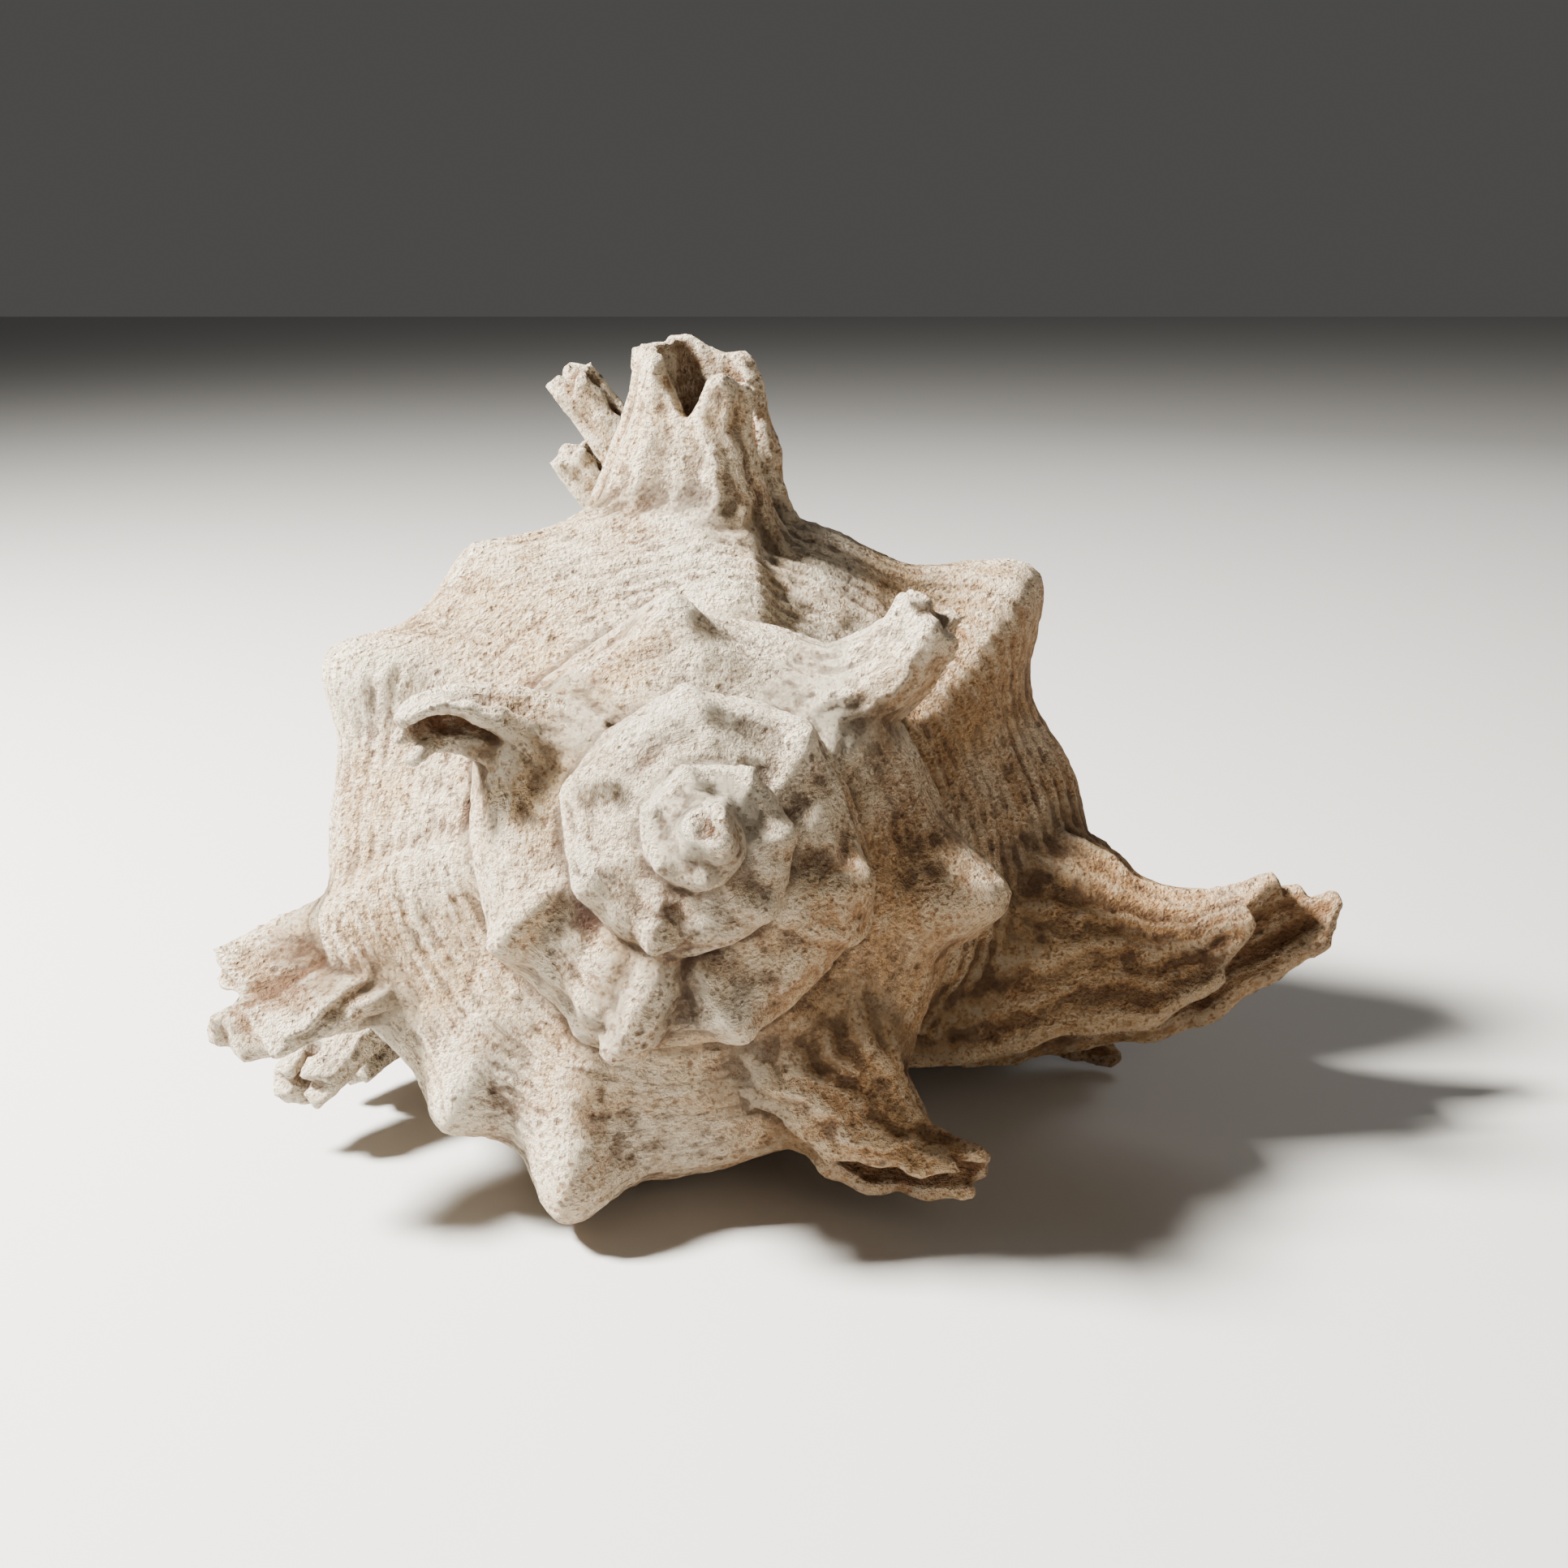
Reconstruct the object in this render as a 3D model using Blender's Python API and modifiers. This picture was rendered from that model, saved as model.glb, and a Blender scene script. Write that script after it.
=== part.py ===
"""A sun-bleached murex shell, in metres, lying as it rests on a table: apex toward -Y, mouth down.

The shell is laid out in its own frame first, in millimetres: polar radius and angle about the
axis of the coil, seen from the apex with angles counted counter-clockwise, and depth from the
apex toward the end of the canal. A turn counts one coil backwards from the lip.
"""
import math

import bmesh
import bpy
import numpy as np

# Size and pose
LIP_ANGLE = -28.0
SPIRE_TURNS = 4.7
PITCH = math.radians(24.0)
YAW = math.radians(9.0)
APEX_HEIGHT = 61.0
CENTRE_SHIFT = (-0.01295, -0.0841, 0.00105)

# Shoulder radius of the coil, by turns before the lip
SHOULDER_RADII = (
    (0.0, 65.0), (0.14, 61.0), (0.28, 54.5), (0.42, 51.2), (0.56, 47.8), (0.74, 44.2), (0.9, 40.6),
    (1.05, 37.0), (1.2, 33.5), (1.34, 31.5), (1.5, 28.5), (1.75, 25.5), (2.0, 22.3), (2.25, 19.8),
    (2.5, 17.3), (2.75, 14.2), (3.08, 10.8), (3.4, 8.6), (3.8, 6.2), (4.3, 3.6), (4.7, 2.0),
)
# Depth of the shoulder over its radius: the spire is flatter near the apex
SHOULDER_DEPTHS = (
    (0.0, 0.92), (0.5, 0.88), (1.0, 0.80), (1.5, 0.76), (2.0, 0.68), (3.0, 0.64), (4.7, 0.6),
)

# How steeply the ramp between suture and shoulder falls, by turns
RAMP_SLOPES = ((0.0, 1.0), (0.5, 0.92), (1.0, 0.68), (1.5, 0.5), (2.0, 0.36), (4.7, 0.3))

# Outline of one whorl across the coil, in shoulder radii from the shoulder depth
OUTLINE = (
    (0.30, -0.37), (0.44, -0.325), (0.585, -0.26), (0.71, -0.195), (0.83, -0.13), (0.93, -0.07), (1.0, 0.0),
    (1.03, 0.095), (1.03, 0.205), (1.0, 0.365), (0.92, 0.545), (0.80, 0.705), (0.65, 0.855), (0.49, 0.985),
    (0.34, 1.085), (0.20, 1.165), (0.06, 1.16), (0.02, 0.885), (0.02, 0.485), (0.02, 0.085), (0.06, -0.255),
    (0.16, -0.365),
)
SHOULDER = 6
# Outline of the hollow inside the last whorl, in the same terms
HOLLOW = (
    (0.67, -0.16), (0.76, -0.115), (0.86, -0.055), (0.93, 0.015), (0.962, 0.11), (0.96, 0.21), (0.93, 0.35),
    (0.85, 0.515), (0.73, 0.66), (0.58, 0.78), (0.44, 0.88), (0.33, 0.97), (0.27, 0.96), (0.265, 0.82),
    (0.27, 0.62), (0.30, 0.43), (0.37, 0.26), (0.47, 0.12), (0.56, 0.0), (0.61, -0.10),
)
HOLLOW_TURNS = 0.55

# Turns before the lip at which each old lip stands as a rib
RIBS = (0.053, 0.317, 0.61, 0.925, 1.195, 1.481, 1.742, 2.0)
# Knobs between the ribs: turns, rise, half width in degrees, place across the outline, spread there
KNOBS = (
    (0.107, 2.0, 7, 6.2, 2.0), (0.178, 13.5, 8.5, 6.3, 2.2), (0.412, 3.2, 6.5, 6, 1.6),
    (0.486, 8.0, 8, 6, 1.9), (0.703, 4.2, 6, 6, 1.6), (0.768, 8.9, 7.6, 6, 1.9),
    (1.046, 8.5, 9, 6, 1.8), (1.334, 5.2, 8, 6, 1.7),
    (1.644, 4.0, 7, 6, 1.6), (1.856, 3.0, 7, 6, 1.6), (2.035, 2.2, 8, 6, 1.6), (2.2, 2.4, 8, 6, 1.6),
    (2.335, 2.1, 8, 6, 1.6), (2.502, 2.1, 8, 6, 1.6), (2.63, 1.8, 8, 6, 1.6), (2.751, 2.0, 8, 6, 1.6),
    (2.933, 1.5, 9, 6, 1.6), (3.082, 1.5, 9, 6, 1.6), (3.225, 1.4, 9, 6, 1.6), (3.37, 1.3, 9, 6, 1.6),
    (3.5, 1.1, 10, 6, 1.6), (3.66, 0.9, 10, 6, 1.6), (3.82, 0.8, 10, 6, 1.6), (4.0, 0.6, 10, 6, 1.6),
)

# Fronds. Rows: radius, angle, depth, half width, half height toward the opening, and how far round
# from its back the channel is closed, in degrees. Face: angle of the opening and its tilt to the apex.
# Fingers: place round the open edge from -1, trailing, to 1, leading, and length there. Folds: count,
# depth and shift of the lengthwise flutes. Notch: place, width and depth of a gap in the open edge.
# Root and deep: where along the frond its channel starts, and how much of the inside it takes.
FRONDS = {
    "top": dict(
        rows=(
            (33, 80, 60, 18, 27, 180), (46, 83, 56, 15.5, 21, 180), (57, 84, 50, 10.6, 14.2, 172),
            (67, 83.5, 44, 8.2, 11.4, 152), (76.5, 85, 39, 7.2, 9.0, 136),
        ),
        face=(-8, 22), folds=(5.0, 0.08, 0.4), notch=(0.58, 0.12, 0.15),
        fingers=(
            (-1.0, 0.82), (-0.75, 0.93), (-0.45, 1.0), (-0.15, 0.99), (0.1, 0.99), (0.3, 0.98),
            (0.75, 0.9), (1.0, 0.86),
        ),
        wall=3.2,
    ),
    "top_second": dict(
        rows=(
            (38, 82, 73, 12, 9, 180), (54, 86, 72, 8, 6.8, 180), (66, 90.5, 70.5, 5.6, 4.8, 180),
            (75, 95, 68.5, 4.6, 4.0, 172), (83, 98.5, 66, 4.6, 4.0, 160),
        ),
        face=(10, 50), fingers=((-0.9, 0.95), (-0.35, 1.0), (0.3, 0.99), (0.9, 0.94)), wall=2.6, root=0.5,
        deep=0.6,
    ),
    "top_third": dict(
        rows=(
            (32, 82, 87, 11, 8, 180), (48, 87, 86, 7, 5.8, 180), (61, 92, 84, 5, 4.4, 180),
            (69, 97, 82, 4.4, 3.9, 170), (74.5, 99.5, 80, 4.3, 3.8, 160),
        ),
        face=(10, 40), fingers=((-0.9, 0.95), (-0.3, 1.0), (0.4, 0.98), (0.9, 0.94)), wall=2.5, root=0.5,
        deep=0.6,
    ),
    "top_fourth": dict(
        rows=(
            (24, 86, 99, 9, 8, 180), (42, 91, 99, 5.5, 5, 180), (52, 95, 98, 4.2, 3.8, 160),
            (59, 99, 96, 3.2, 2.8, 130),
        ),
        face=(10, 30), fingers=((-0.6, 1.0), (0.6, 0.95)), wall=2.3,
    ),
    "left": dict(
        rows=(
            (26, 190, 48, 14, 9, 180), (39, 193, 46, 12, 7.4, 172), (50, 194, 42, 10.2, 6.0, 138),
            (58.5, 195, 38, 9.6, 5.0, 112), (66.5, 196, 33.5, 9.4, 4.4, 100),
        ),
        face=(103, 55), folds=(6.0, 0.09, 0.9), deep=0.3,
        fingers=((-1.0, 0.85), (-0.7, 0.9), (-0.3, 0.97), (0.0, 1.0), (0.45, 0.86), (0.9, 0.84)),
        notch=(0.32, 0.09, 0.12), wall=3.6, root=0.3,
    ),
    "left_second": dict(
        rows=(
            (26, 190, 74, 11, 9, 180), (42, 197, 70, 7.5, 6.5, 180), (53, 203, 65.5, 5.8, 5.2, 180),
            (60, 206.5, 62, 5, 4.6, 168), (64.5, 208, 58.5, 4.6, 4.2, 155),
        ),
        face=(115, 45), folds=(3.0, 0.12, 0.3),
        fingers=((-0.9, 0.95), (-0.4, 1.0), (0.3, 0.97), (0.9, 0.93)), wall=2.6, root=0.45, deep=0.6,
    ),
    "left_third": dict(
        rows=(
            (16, 194, 86, 10, 9, 180), (34, 203, 83, 7, 6, 180), (48, 206, 79, 5.2, 4.7, 180),
            (54.5, 207.5, 76, 4.4, 4.0, 170), (58.5, 208.5, 73, 4.2, 3.8, 160),
        ),
        face=(115, 40), fingers=((-0.9, 0.95), (-0.3, 1.0), (0.4, 0.98), (0.9, 0.94)), wall=2.5, root=0.5,
        deep=0.6,
    ),
    "left_fourth": dict(
        rows=(
            (12, 200, 93, 9, 8, 180), (28, 205, 93, 6, 5.5, 180), (40, 210, 92, 4.6, 4.2, 175),
            (47, 213, 90, 4, 3.6, 162),
        ),
        face=(115, 30), fingers=((-0.9, 0.94), (-0.3, 1.0), (0.4, 0.97), (0.9, 0.93)), wall=2.4, root=0.5,
        deep=0.6,
    ),
    "lip": dict(
        rows=(
            (40, -14, 56, 10, 25, 180), (58, -16, 54, 10, 20.5, 150), (72, -16.5, 50.5, 9.5, 15, 132),
            (85, -13.0, 45.5, 8.5, 11, 122), (98, -7.0, 40, 6.8, 7.4, 112),
        ),
        face=(-104, 10), folds=(6.0, 0.06, 0.2),
        fingers=(
            (-0.95, 0.96), (-0.72, 1.03), (-0.42, 0.97), (-0.05, 0.93), (0.25, 0.93), (0.6, 0.84),
            (0.95, 0.72),
        ),
        wall=3.2,
    ),
    "lip_second": dict(
        rows=(
            (44, -19, 70, 9, 10, 180), (58, -23, 70, 7.5, 7.5, 178), (68, -24.5, 70, 5.5, 5.5, 150),
            (75, -25.5, 69, 4.4, 4.4, 125), (79.5, -25.5, 67, 3.4, 3.2, 115),
        ),
        face=(-115, 10), fingers=((-0.7, 1.0), (0.4, 0.93)), wall=2.5,
    ),
    "lip_third": dict(
        rows=(
            (38, -18, 86, 9, 9, 180), (52, -18, 86, 6.5, 6.5, 175), (61, -19, 86, 5, 5, 150),
            (67, -19.5, 84.5, 4, 4, 125), (71, -19, 83, 3, 3, 115),
        ),
        face=(-115, 10), fingers=((-0.6, 1.0), (0.5, 0.93)), wall=2.4,
    ),
    "lip_fourth": dict(
        rows=(
            (26, -8, 101, 9, 8, 180), (40, -9, 101, 6, 6, 178), (48, -10, 101, 4.6, 4.6, 150),
            (54, -10, 100, 3.4, 3.4, 120),
        ),
        face=(-110, 5), fingers=((-0.6, 1.0), (0.5, 0.93)), wall=2.4,
    ),
    "low_right": dict(
        rows=(
            (22, -57, 38, 12, 16, 180), (34, -61, 33, 9, 13, 165), (43, -61.5, 31, 7, 10, 140),
            (51.5, -58.5, 28, 5.2, 7.4, 120), (58.5, -51, 23, 2.8, 3.6, 108),
        ),
        face=(-152, 8), folds=(5.0, 0.09, 0.3), ragged=0.1,
        fingers=((-0.9, 0.96), (-0.5, 0.99), (0.0, 1.0), (0.4, 0.99), (0.9, 0.93)), wall=2.5,
    ),
    "high_right": dict(
        rows=(
            (22, 47, 30, 9.5, 9, 180), (30, 42, 28, 7.6, 7.2, 180), (36, 38.5, 25, 6.2, 6.4, 172),
            (41.5, 38.5, 20.5, 5.2, 5.6, 152), (46, 41.5, 16.5, 4.8, 5.2, 138),
        ),
        face=(-42, -12), folds=(3.0, 0.13, 1.2), ragged=0.06,
        fingers=((-0.85, 0.93), (-0.3, 0.99), (0.1, 1.0), (0.5, 0.96), (0.9, 0.9)), wall=3.0, root=0.3,
        deep=0.75,
    ),
    "high_left": dict(
        rows=(
            (19, 139, 25, 9, 6.4, 180), (26, 143, 23.5, 7.2, 5.4, 170), (32.5, 147, 20.5, 5.4, 4.6, 140),
            (37, 152, 17.8, 4.2, 3.6, 122), (39.5, 159, 15.8, 3.0, 2.8, 112),
        ),
        face=(245, 40), folds=(4.0, 0.12, 0.5), ragged=0.06,
        fingers=((-0.8, 1.0), (0.0, 0.97), (0.6, 0.93), (1.0, 0.88)), wall=2.3,
    ),
    "worn_stub": dict(
        rows=(
            (12, 248, 15, 3.4, 3.2, 180), (18.5, 248.5, 16, 3.2, 3.8, 180),
            (24.5, 247, 18, 3.2, 4.0, 178), (29, 244.5, 21, 3.0, 3.2, 175),
        ),
        face=(331, 25), folds=(3.0, 0.1, 0.9), ragged=0.08, deep=0.0,
        fingers=((-0.6, 1.0), (0.0, 0.96), (0.5, 0.95)), wall=2.2,
    ),
}
# The broken tip of the first whorl, laid out as a short frond
NUB = dict(
    rows=(
        (0.5, 60, 7, 5.0, 5.0, 180), (0.6, 60, 2.5, 4.0, 3.8, 180), (0.8, 75, 0.2, 3.2, 2.8, 175),
        (1.2, 90, -1.4, 2.6, 2.2, 150),
    ),
    face=(215, 30), folds=(3.0, 0.14, 0.5), ragged=0.1, fingers=((-0.7, 0.88), (0.1, 1.0), (0.8, 0.8)),
    wall=1.5, deep=0.6,
)
# The canal, open along its underside, and the fronds on its side, laid out in the same way
CANAL = dict(
    rows=(
        (17, -10, 98, 18, 14, 165), (13, -4, 117, 14, 12, 155), (10, 28, 136, 10.5, 9.2, 150),
        (14, 66, 156, 8.2, 7.2, 150), (23, 82, 178, 6, 5.5, 145),
    ),
    face=(-118, 0), fingers=((-0.5, 1.0), (0.5, 0.97)), wall=3.6, root=0.0,
)
CANAL_FRONDS = {
    "canal_first": dict(
        rows=(
            (10, 20, 116, 8, 7, 180), (26, 8, 118, 5, 4.6, 178), (36, 4, 118, 3.8, 3.4, 140),
            (43, 2, 116, 3, 2.6, 120),
        ),
        face=(-90, 10), fingers=((-0.6, 1.0), (0.5, 0.94)), wall=2.3,
    ),
    "canal_second": dict(
        rows=(
            (8, 20, 134, 6, 5.5, 180), (22, 20, 136, 4.2, 4, 178), (31, 18, 137, 3.2, 3, 140),
            (36, 17, 136, 2.6, 2.4, 125),
        ),
        face=(-80, 10), fingers=((-0.6, 1.0), (0.5, 0.94)), wall=2.2,
    ),
}


def radius_at(turns):
    known = np.array(SHOULDER_RADII)
    fine = np.linspace(-0.3, SPIRE_TURNS + 0.3, 700)
    rough = np.interp(fine, known[:, 0], np.log(known[:, 1]))
    window = np.hanning(21)
    padded = np.pad(rough, 10, mode="edge")
    smooth = np.convolve(padded, window / window.sum(), mode="valid")
    return np.exp(np.interp(turns, fine, smooth))


def depth_at(turns):
    known = np.array(SHOULDER_DEPTHS)
    return radius_at(turns) * np.interp(turns, known[:, 0], known[:, 1])


def angle_at(turns, place):
    """Degrees round the axis: a lip leans forward toward the suture and drags behind below its shoulder."""
    lean = 22.0 * np.clip((SHOULDER - place) / SHOULDER, 0, 1) ** 1.2
    drag = 10.0 * np.sin(np.pi * np.clip((place - 7.0) / 12.0, 0, 1))
    return LIP_ANGLE + 360.0 * turns - lean + drag


def polar(radius, degrees, depth):
    turn = np.radians(degrees)
    return np.stack([radius * np.cos(turn), radius * np.sin(turn), depth + 0 * radius], -1)


def between(a, b, c, d, f):
    """The smooth curve from b to c, at f from 0 to 1, with a before them and d after."""
    return 0.5 * (2 * b + (c - a) * f + (2 * a - 5 * b + 4 * c - d) * f**2 + (3 * b - a - 3 * c + d) * f**3)


def through(points, t):
    """Points on a smooth open curve through the given rows, at t from 0 to 1."""
    points = np.asarray(points, float)
    last = len(points) - 1
    padded = np.concatenate([2 * points[:1] - points[1:2], points, 2 * points[-1:] - points[-2:-1]])
    at = np.asarray(t, float) * last
    i = np.clip(np.floor(at).astype(int), 0, last - 1)
    return between(*(padded[i + k] for k in range(4)), (at - i)[..., None])


def closed_outline(points, count):
    """Evenly spaced points of the smooth closed curve, and the place of each among the given ones."""
    points = np.asarray(points, float)
    n = len(points)
    at = np.linspace(0, n, n * 24, endpoint=False)
    i = np.floor(at).astype(int)
    curve = between(*(points[(i + k) % n] for k in (-1, 0, 1, 2)), (at - i)[:, None])
    ring = np.concatenate([curve, curve[:1]])
    along = np.concatenate([[0], np.cumsum(np.linalg.norm(np.diff(ring, axis=0), axis=1))])
    want = np.linspace(0, along[-1], count, endpoint=False)
    spaced = np.stack([np.interp(want, along, ring[:, k]) for k in range(2)], 1)
    return spaced, np.interp(want, along, np.append(at, n))


def bump(x, width):
    return np.exp(-((x / width) ** 2))


def relief(turns, place):
    """Rise of the whorl's wall in millimetres: knobs, and ribs that climb slowly and stop short."""
    rise = 0 * turns * place
    for at, height, width, centre, spread in KNOBS:
        away = (at - turns) * 360.0
        reach = np.where(place < centre, (2.0 if at > 1.55 else 1.0) * spread, spread)
        rise = rise + height * bump(away, width) * bump(place - centre, reach)
    outer = np.clip(np.minimum(place - 0.5, 15.5 - place), 0, 1)
    unit = radius_at(turns) / 65.0
    early = np.clip((turns - 0.95) / 0.4, 0, 1)
    rise = rise - 0.055 * radius_at(turns) * early * bump(place - SHOULDER - 0.3, 1.1)
    waves = np.sin(43 * turns + 1.3 * place) * np.sin(27 * turns - 1.9 * place + 1)
    rise = rise + 0.5 * unit**0.5 * outer * waves * np.clip((turns - 0.7) / 0.5, 0, 1)
    for at in RIBS:
        after = (at - turns) * 360.0
        climb = np.where(after < 0, bump(after, 11.0), 1.0)
        stop = 1 / (1 + np.exp(np.clip((after - 8.5) / 1.2, -40, 40)))
        flank = np.clip((place - SHOULDER) / 2.0, 0, 1)
        rise = rise + unit * climb * stop * outer * (2.4 + 2.2 * flank + 2.6 * bump(place - SHOULDER, 2.0))
    return rise


def whorls(rings, around):
    """The coiled tube as a grid of points, one ring of the outline for each step of turns."""
    turns = np.linspace(SPIRE_TURNS, 0, rings)[:, None]
    base, place = closed_outline(OUTLINE, around)
    along = np.roll(base, -1, 0) - np.roll(base, 1, 0)
    along /= np.linalg.norm(along, axis=1)[:, None]
    out = np.stack([along[:, 1], -along[:, 0]], 1)
    rise = relief(turns, place[None, :])
    size = radius_at(turns)
    radius = base[:, 0] * size + out[:, 0] * rise
    slopes = np.array(RAMP_SLOPES)
    slope = np.where(place[None, :] < SHOULDER, np.interp(turns, slopes[:, 0], slopes[:, 1]), 1.0)
    depth = depth_at(turns) + base[:, 1] * slope * size + out[:, 1] * rise
    return polar(radius, angle_at(turns, place[None, :]), depth)


def hollow(rings, around):
    """The space inside the last whorl, from outside the lip back to its blind end."""
    turns = np.linspace(HOLLOW_TURNS, -0.075, rings)[:, None]
    base, place = closed_outline(HOLLOW, around)
    middle = base.mean(0)
    shrink = np.sqrt(np.clip((HOLLOW_TURNS - turns) / 0.12, 0.0, 1.0))
    base = middle + (base - middle) * (0.25 + 0.75 * shrink[..., None])
    size = radius_at(turns)
    lean = np.clip((0.2 - base[..., 1]) / 0.5, 0, 1) ** 1.2
    angle = LIP_ANGLE + 360.0 * turns - 12.0 * lean
    return polar(base[..., 0] * size, angle, depth_at(turns) + base[..., 1] * size)


def grid_faces(rows, columns, start=0):
    """Quads of a grid that closes round its columns, with both ends filled by a face."""
    faces = []
    for i in range(rows - 1):
        for j in range(columns):
            near = start + i * columns
            far = near + columns
            k = (j + 1) % columns
            faces.append((near + j, near + k, far + k, far + j))
    faces.append(tuple(start + j for j in range(columns))[::-1])
    faces.append(tuple(start + (rows - 1) * columns + j for j in range(columns)))
    return faces


def finger_lengths(fingers, places):
    lengths = [length - 0.5 * np.maximum(abs(places - at) - 0.1, 0) for at, length in fingers]
    return np.max(lengths, axis=0)


def fold(across, t, folds):
    """Lengthwise flutes of a frond, as a share of its half width; they fade toward the root."""
    count, depth, shift = folds
    wave = np.pi * count * across + shift + 0.9 * np.sin(3 * t + shift)
    return 1 + depth * np.clip(t / 0.5, 0, 1) * np.cos(wave)


def frond(
    rows, face, fingers, wall, steps, around,
    folds=(4.0, 0.07, 0.6), notch=(0, 1, 0), ragged=0.05, root=0.22, deep=1.0,
):
    """A channelled frond: an outer skin and an inner one, joined along the open edges and at the tip."""
    rows = np.array(rows, float)
    centres = polar(rows[:, 0], rows[:, 1], rows[:, 2])
    turn, tilt = np.radians(face[0]), np.radians(face[1])
    opening = np.array([np.cos(turn) * np.cos(tilt), np.sin(turn) * np.cos(tilt), -np.sin(tilt)])
    across = np.linspace(-1, 1, around)
    length = finger_lengths(fingers, across) * (1 - notch[2] * bump(across - notch[0], notch[1]))
    t = np.linspace(0, 1, steps)[:, None] * length[None, :]
    middle = through(centres, np.clip(t, 0, 1.08))
    ahead = through(centres, np.clip(t + 0.02, 0, 1.1)) - through(centres, np.clip(t - 0.02, -0.05, 1.08))
    ahead /= np.linalg.norm(ahead, axis=-1)[..., None]
    up = opening - (ahead @ opening)[..., None] * ahead
    up /= np.linalg.norm(up, axis=-1)[..., None]
    side = np.cross(ahead, up)
    lead = np.array([np.sin(np.radians(rows[0, 1])), -np.cos(np.radians(rows[0, 1])), -1.0])
    side *= np.sign((side * lead).sum(-1).mean())
    sizes = through(rows[:, 3:], np.clip(t, 0, 1.08))
    wave = np.sin(19 * t + 4 * across[None, :]) + 0.5 * np.sin(47 * t + 1)
    edge = 1 + ragged * np.clip(t, 0, 1) * wave
    round_ = np.radians(np.clip(sizes[..., 2], 60, 178)) * across[None, :] * edge
    thick = np.minimum(wall * (1.25 - 0.45 * t), 0.8 * sizes[..., 0])
    fill = deep * np.clip((t - root) / 0.45, 0, 1) ** 1.3
    skins = []
    for scale in (None, fill):
        wide, tall = sizes[..., 0], sizes[..., 1]
        if scale is not None:
            wide, tall = (wide - thick) * scale, (tall - thick) * scale
        flutes = fold(across[None, :], t, folds)
        wide, tall = wide * flutes, tall * flutes
        lift = 0 if scale is None else (1 - scale) * 0.8 * (sizes[..., 1] - thick)
        out_side = (wide * np.sin(round_))[..., None]
        out_up = (lift - tall * np.cos(round_))[..., None]
        skins.append(middle + side * out_side + up * out_up)
    loop = np.concatenate([skins[0], skins[1][:, ::-1]], axis=1)
    faces = grid_faces(steps, loop.shape[1])[:-2]
    for row, flip in ((0, True), (steps - 1, False)):
        first = row * loop.shape[1]
        for j in range(around - 1):
            facing = first + loop.shape[1] - 1 - j
            quad = (first + j, first + j + 1, facing - 1, facing)
            faces.append(quad[::-1] if flip else quad)
    return loop.reshape(-1, 3), faces


def place_on_table(points):
    """From the shell's own frame in millimetres to metres on the table."""
    axis = np.array([-np.sin(YAW) * np.cos(PITCH), np.cos(YAW) * np.cos(PITCH), -np.sin(PITCH)])
    right = np.array([np.cos(YAW), np.sin(YAW), 0.0])
    up = np.cross(right, axis)
    apex = np.array([0.0, 0.0, APEX_HEIGHT])
    placed = apex + points[:, :1] * right + points[:, 1:2] * up + points[:, 2:3] * axis
    return placed * 0.001 + np.array(CENTRE_SHIFT)


def mesh_object(name, points, faces, collection):
    mesh = bpy.data.meshes.new(name)
    mesh.from_pydata([tuple(p) for p in place_on_table(points)], [], faces)
    mesh.update()
    obj = bpy.data.objects.new(name, mesh)
    collection.objects.link(obj)
    return obj


def new_collection(name):
    collection = bpy.data.collections.new(name)
    bpy.context.scene.collection.children.link(collection)
    return collection


def all_surfaces(rings, around, steps, frond_around):
    """The coil, every frond and the canal as one set of closed surfaces that overlap."""
    coil = whorls(rings, around)
    points = [coil.reshape(-1, 3)]
    faces = grid_faces(rings, around)
    total = rings * around
    for spec in [*FRONDS.values(), *CANAL_FRONDS.values(), CANAL, NUB]:
        more, quads = frond(steps=steps, around=frond_around, **spec)
        points.append(more)
        faces += [tuple(i + total for i in quad) for quad in quads]
        total += len(more)
    return np.concatenate(points), faces


def shell_material():
    material = bpy.data.materials.new("chalky_shell")
    material.use_nodes = True
    shader = material.node_tree.nodes["Principled BSDF"]
    shader.inputs["Base Color"].default_value = (0.72, 0.64, 0.54, 1.0)
    shader.inputs["Roughness"].default_value = 0.8
    return material


def outward(obj):
    """Turns the faces to look outward, each closed surface on its own."""
    work = bmesh.new()
    work.from_mesh(obj.data)
    bmesh.ops.recalc_face_normals(work, faces=work.faces)
    work.to_mesh(obj.data)
    work.free()


def fused(source, voxel, passes):
    """The outer surface of everything in source as one closed mesh: its largest piece, softened."""
    fuse = source.modifiers.new("fuse", "REMESH")
    fuse.mode = "VOXEL"
    fuse.voxel_size = voxel
    soften = source.modifiers.new("soften", "SMOOTH")
    soften.factor = 0.5
    soften.iterations = passes
    graph = bpy.context.evaluated_depsgraph_get()
    work = bmesh.new()
    work.from_mesh(source.evaluated_get(graph).to_mesh())
    left = set(work.verts)
    pieces = []
    while left:
        piece = {left.pop()}
        edge = list(piece)
        while edge:
            near = {e.other_vert(v) for v in edge for e in v.link_edges} - piece
            piece |= near
            edge = list(near)
        left -= piece
        pieces.append(piece)
    largest = max(pieces, key=len)
    bmesh.ops.delete(work, geom=[v for v in work.verts if v not in largest], context="VERTS")
    mesh = bpy.data.meshes.new(source.name)
    work.to_mesh(mesh)
    work.free()
    source.modifiers.clear()
    return mesh


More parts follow.
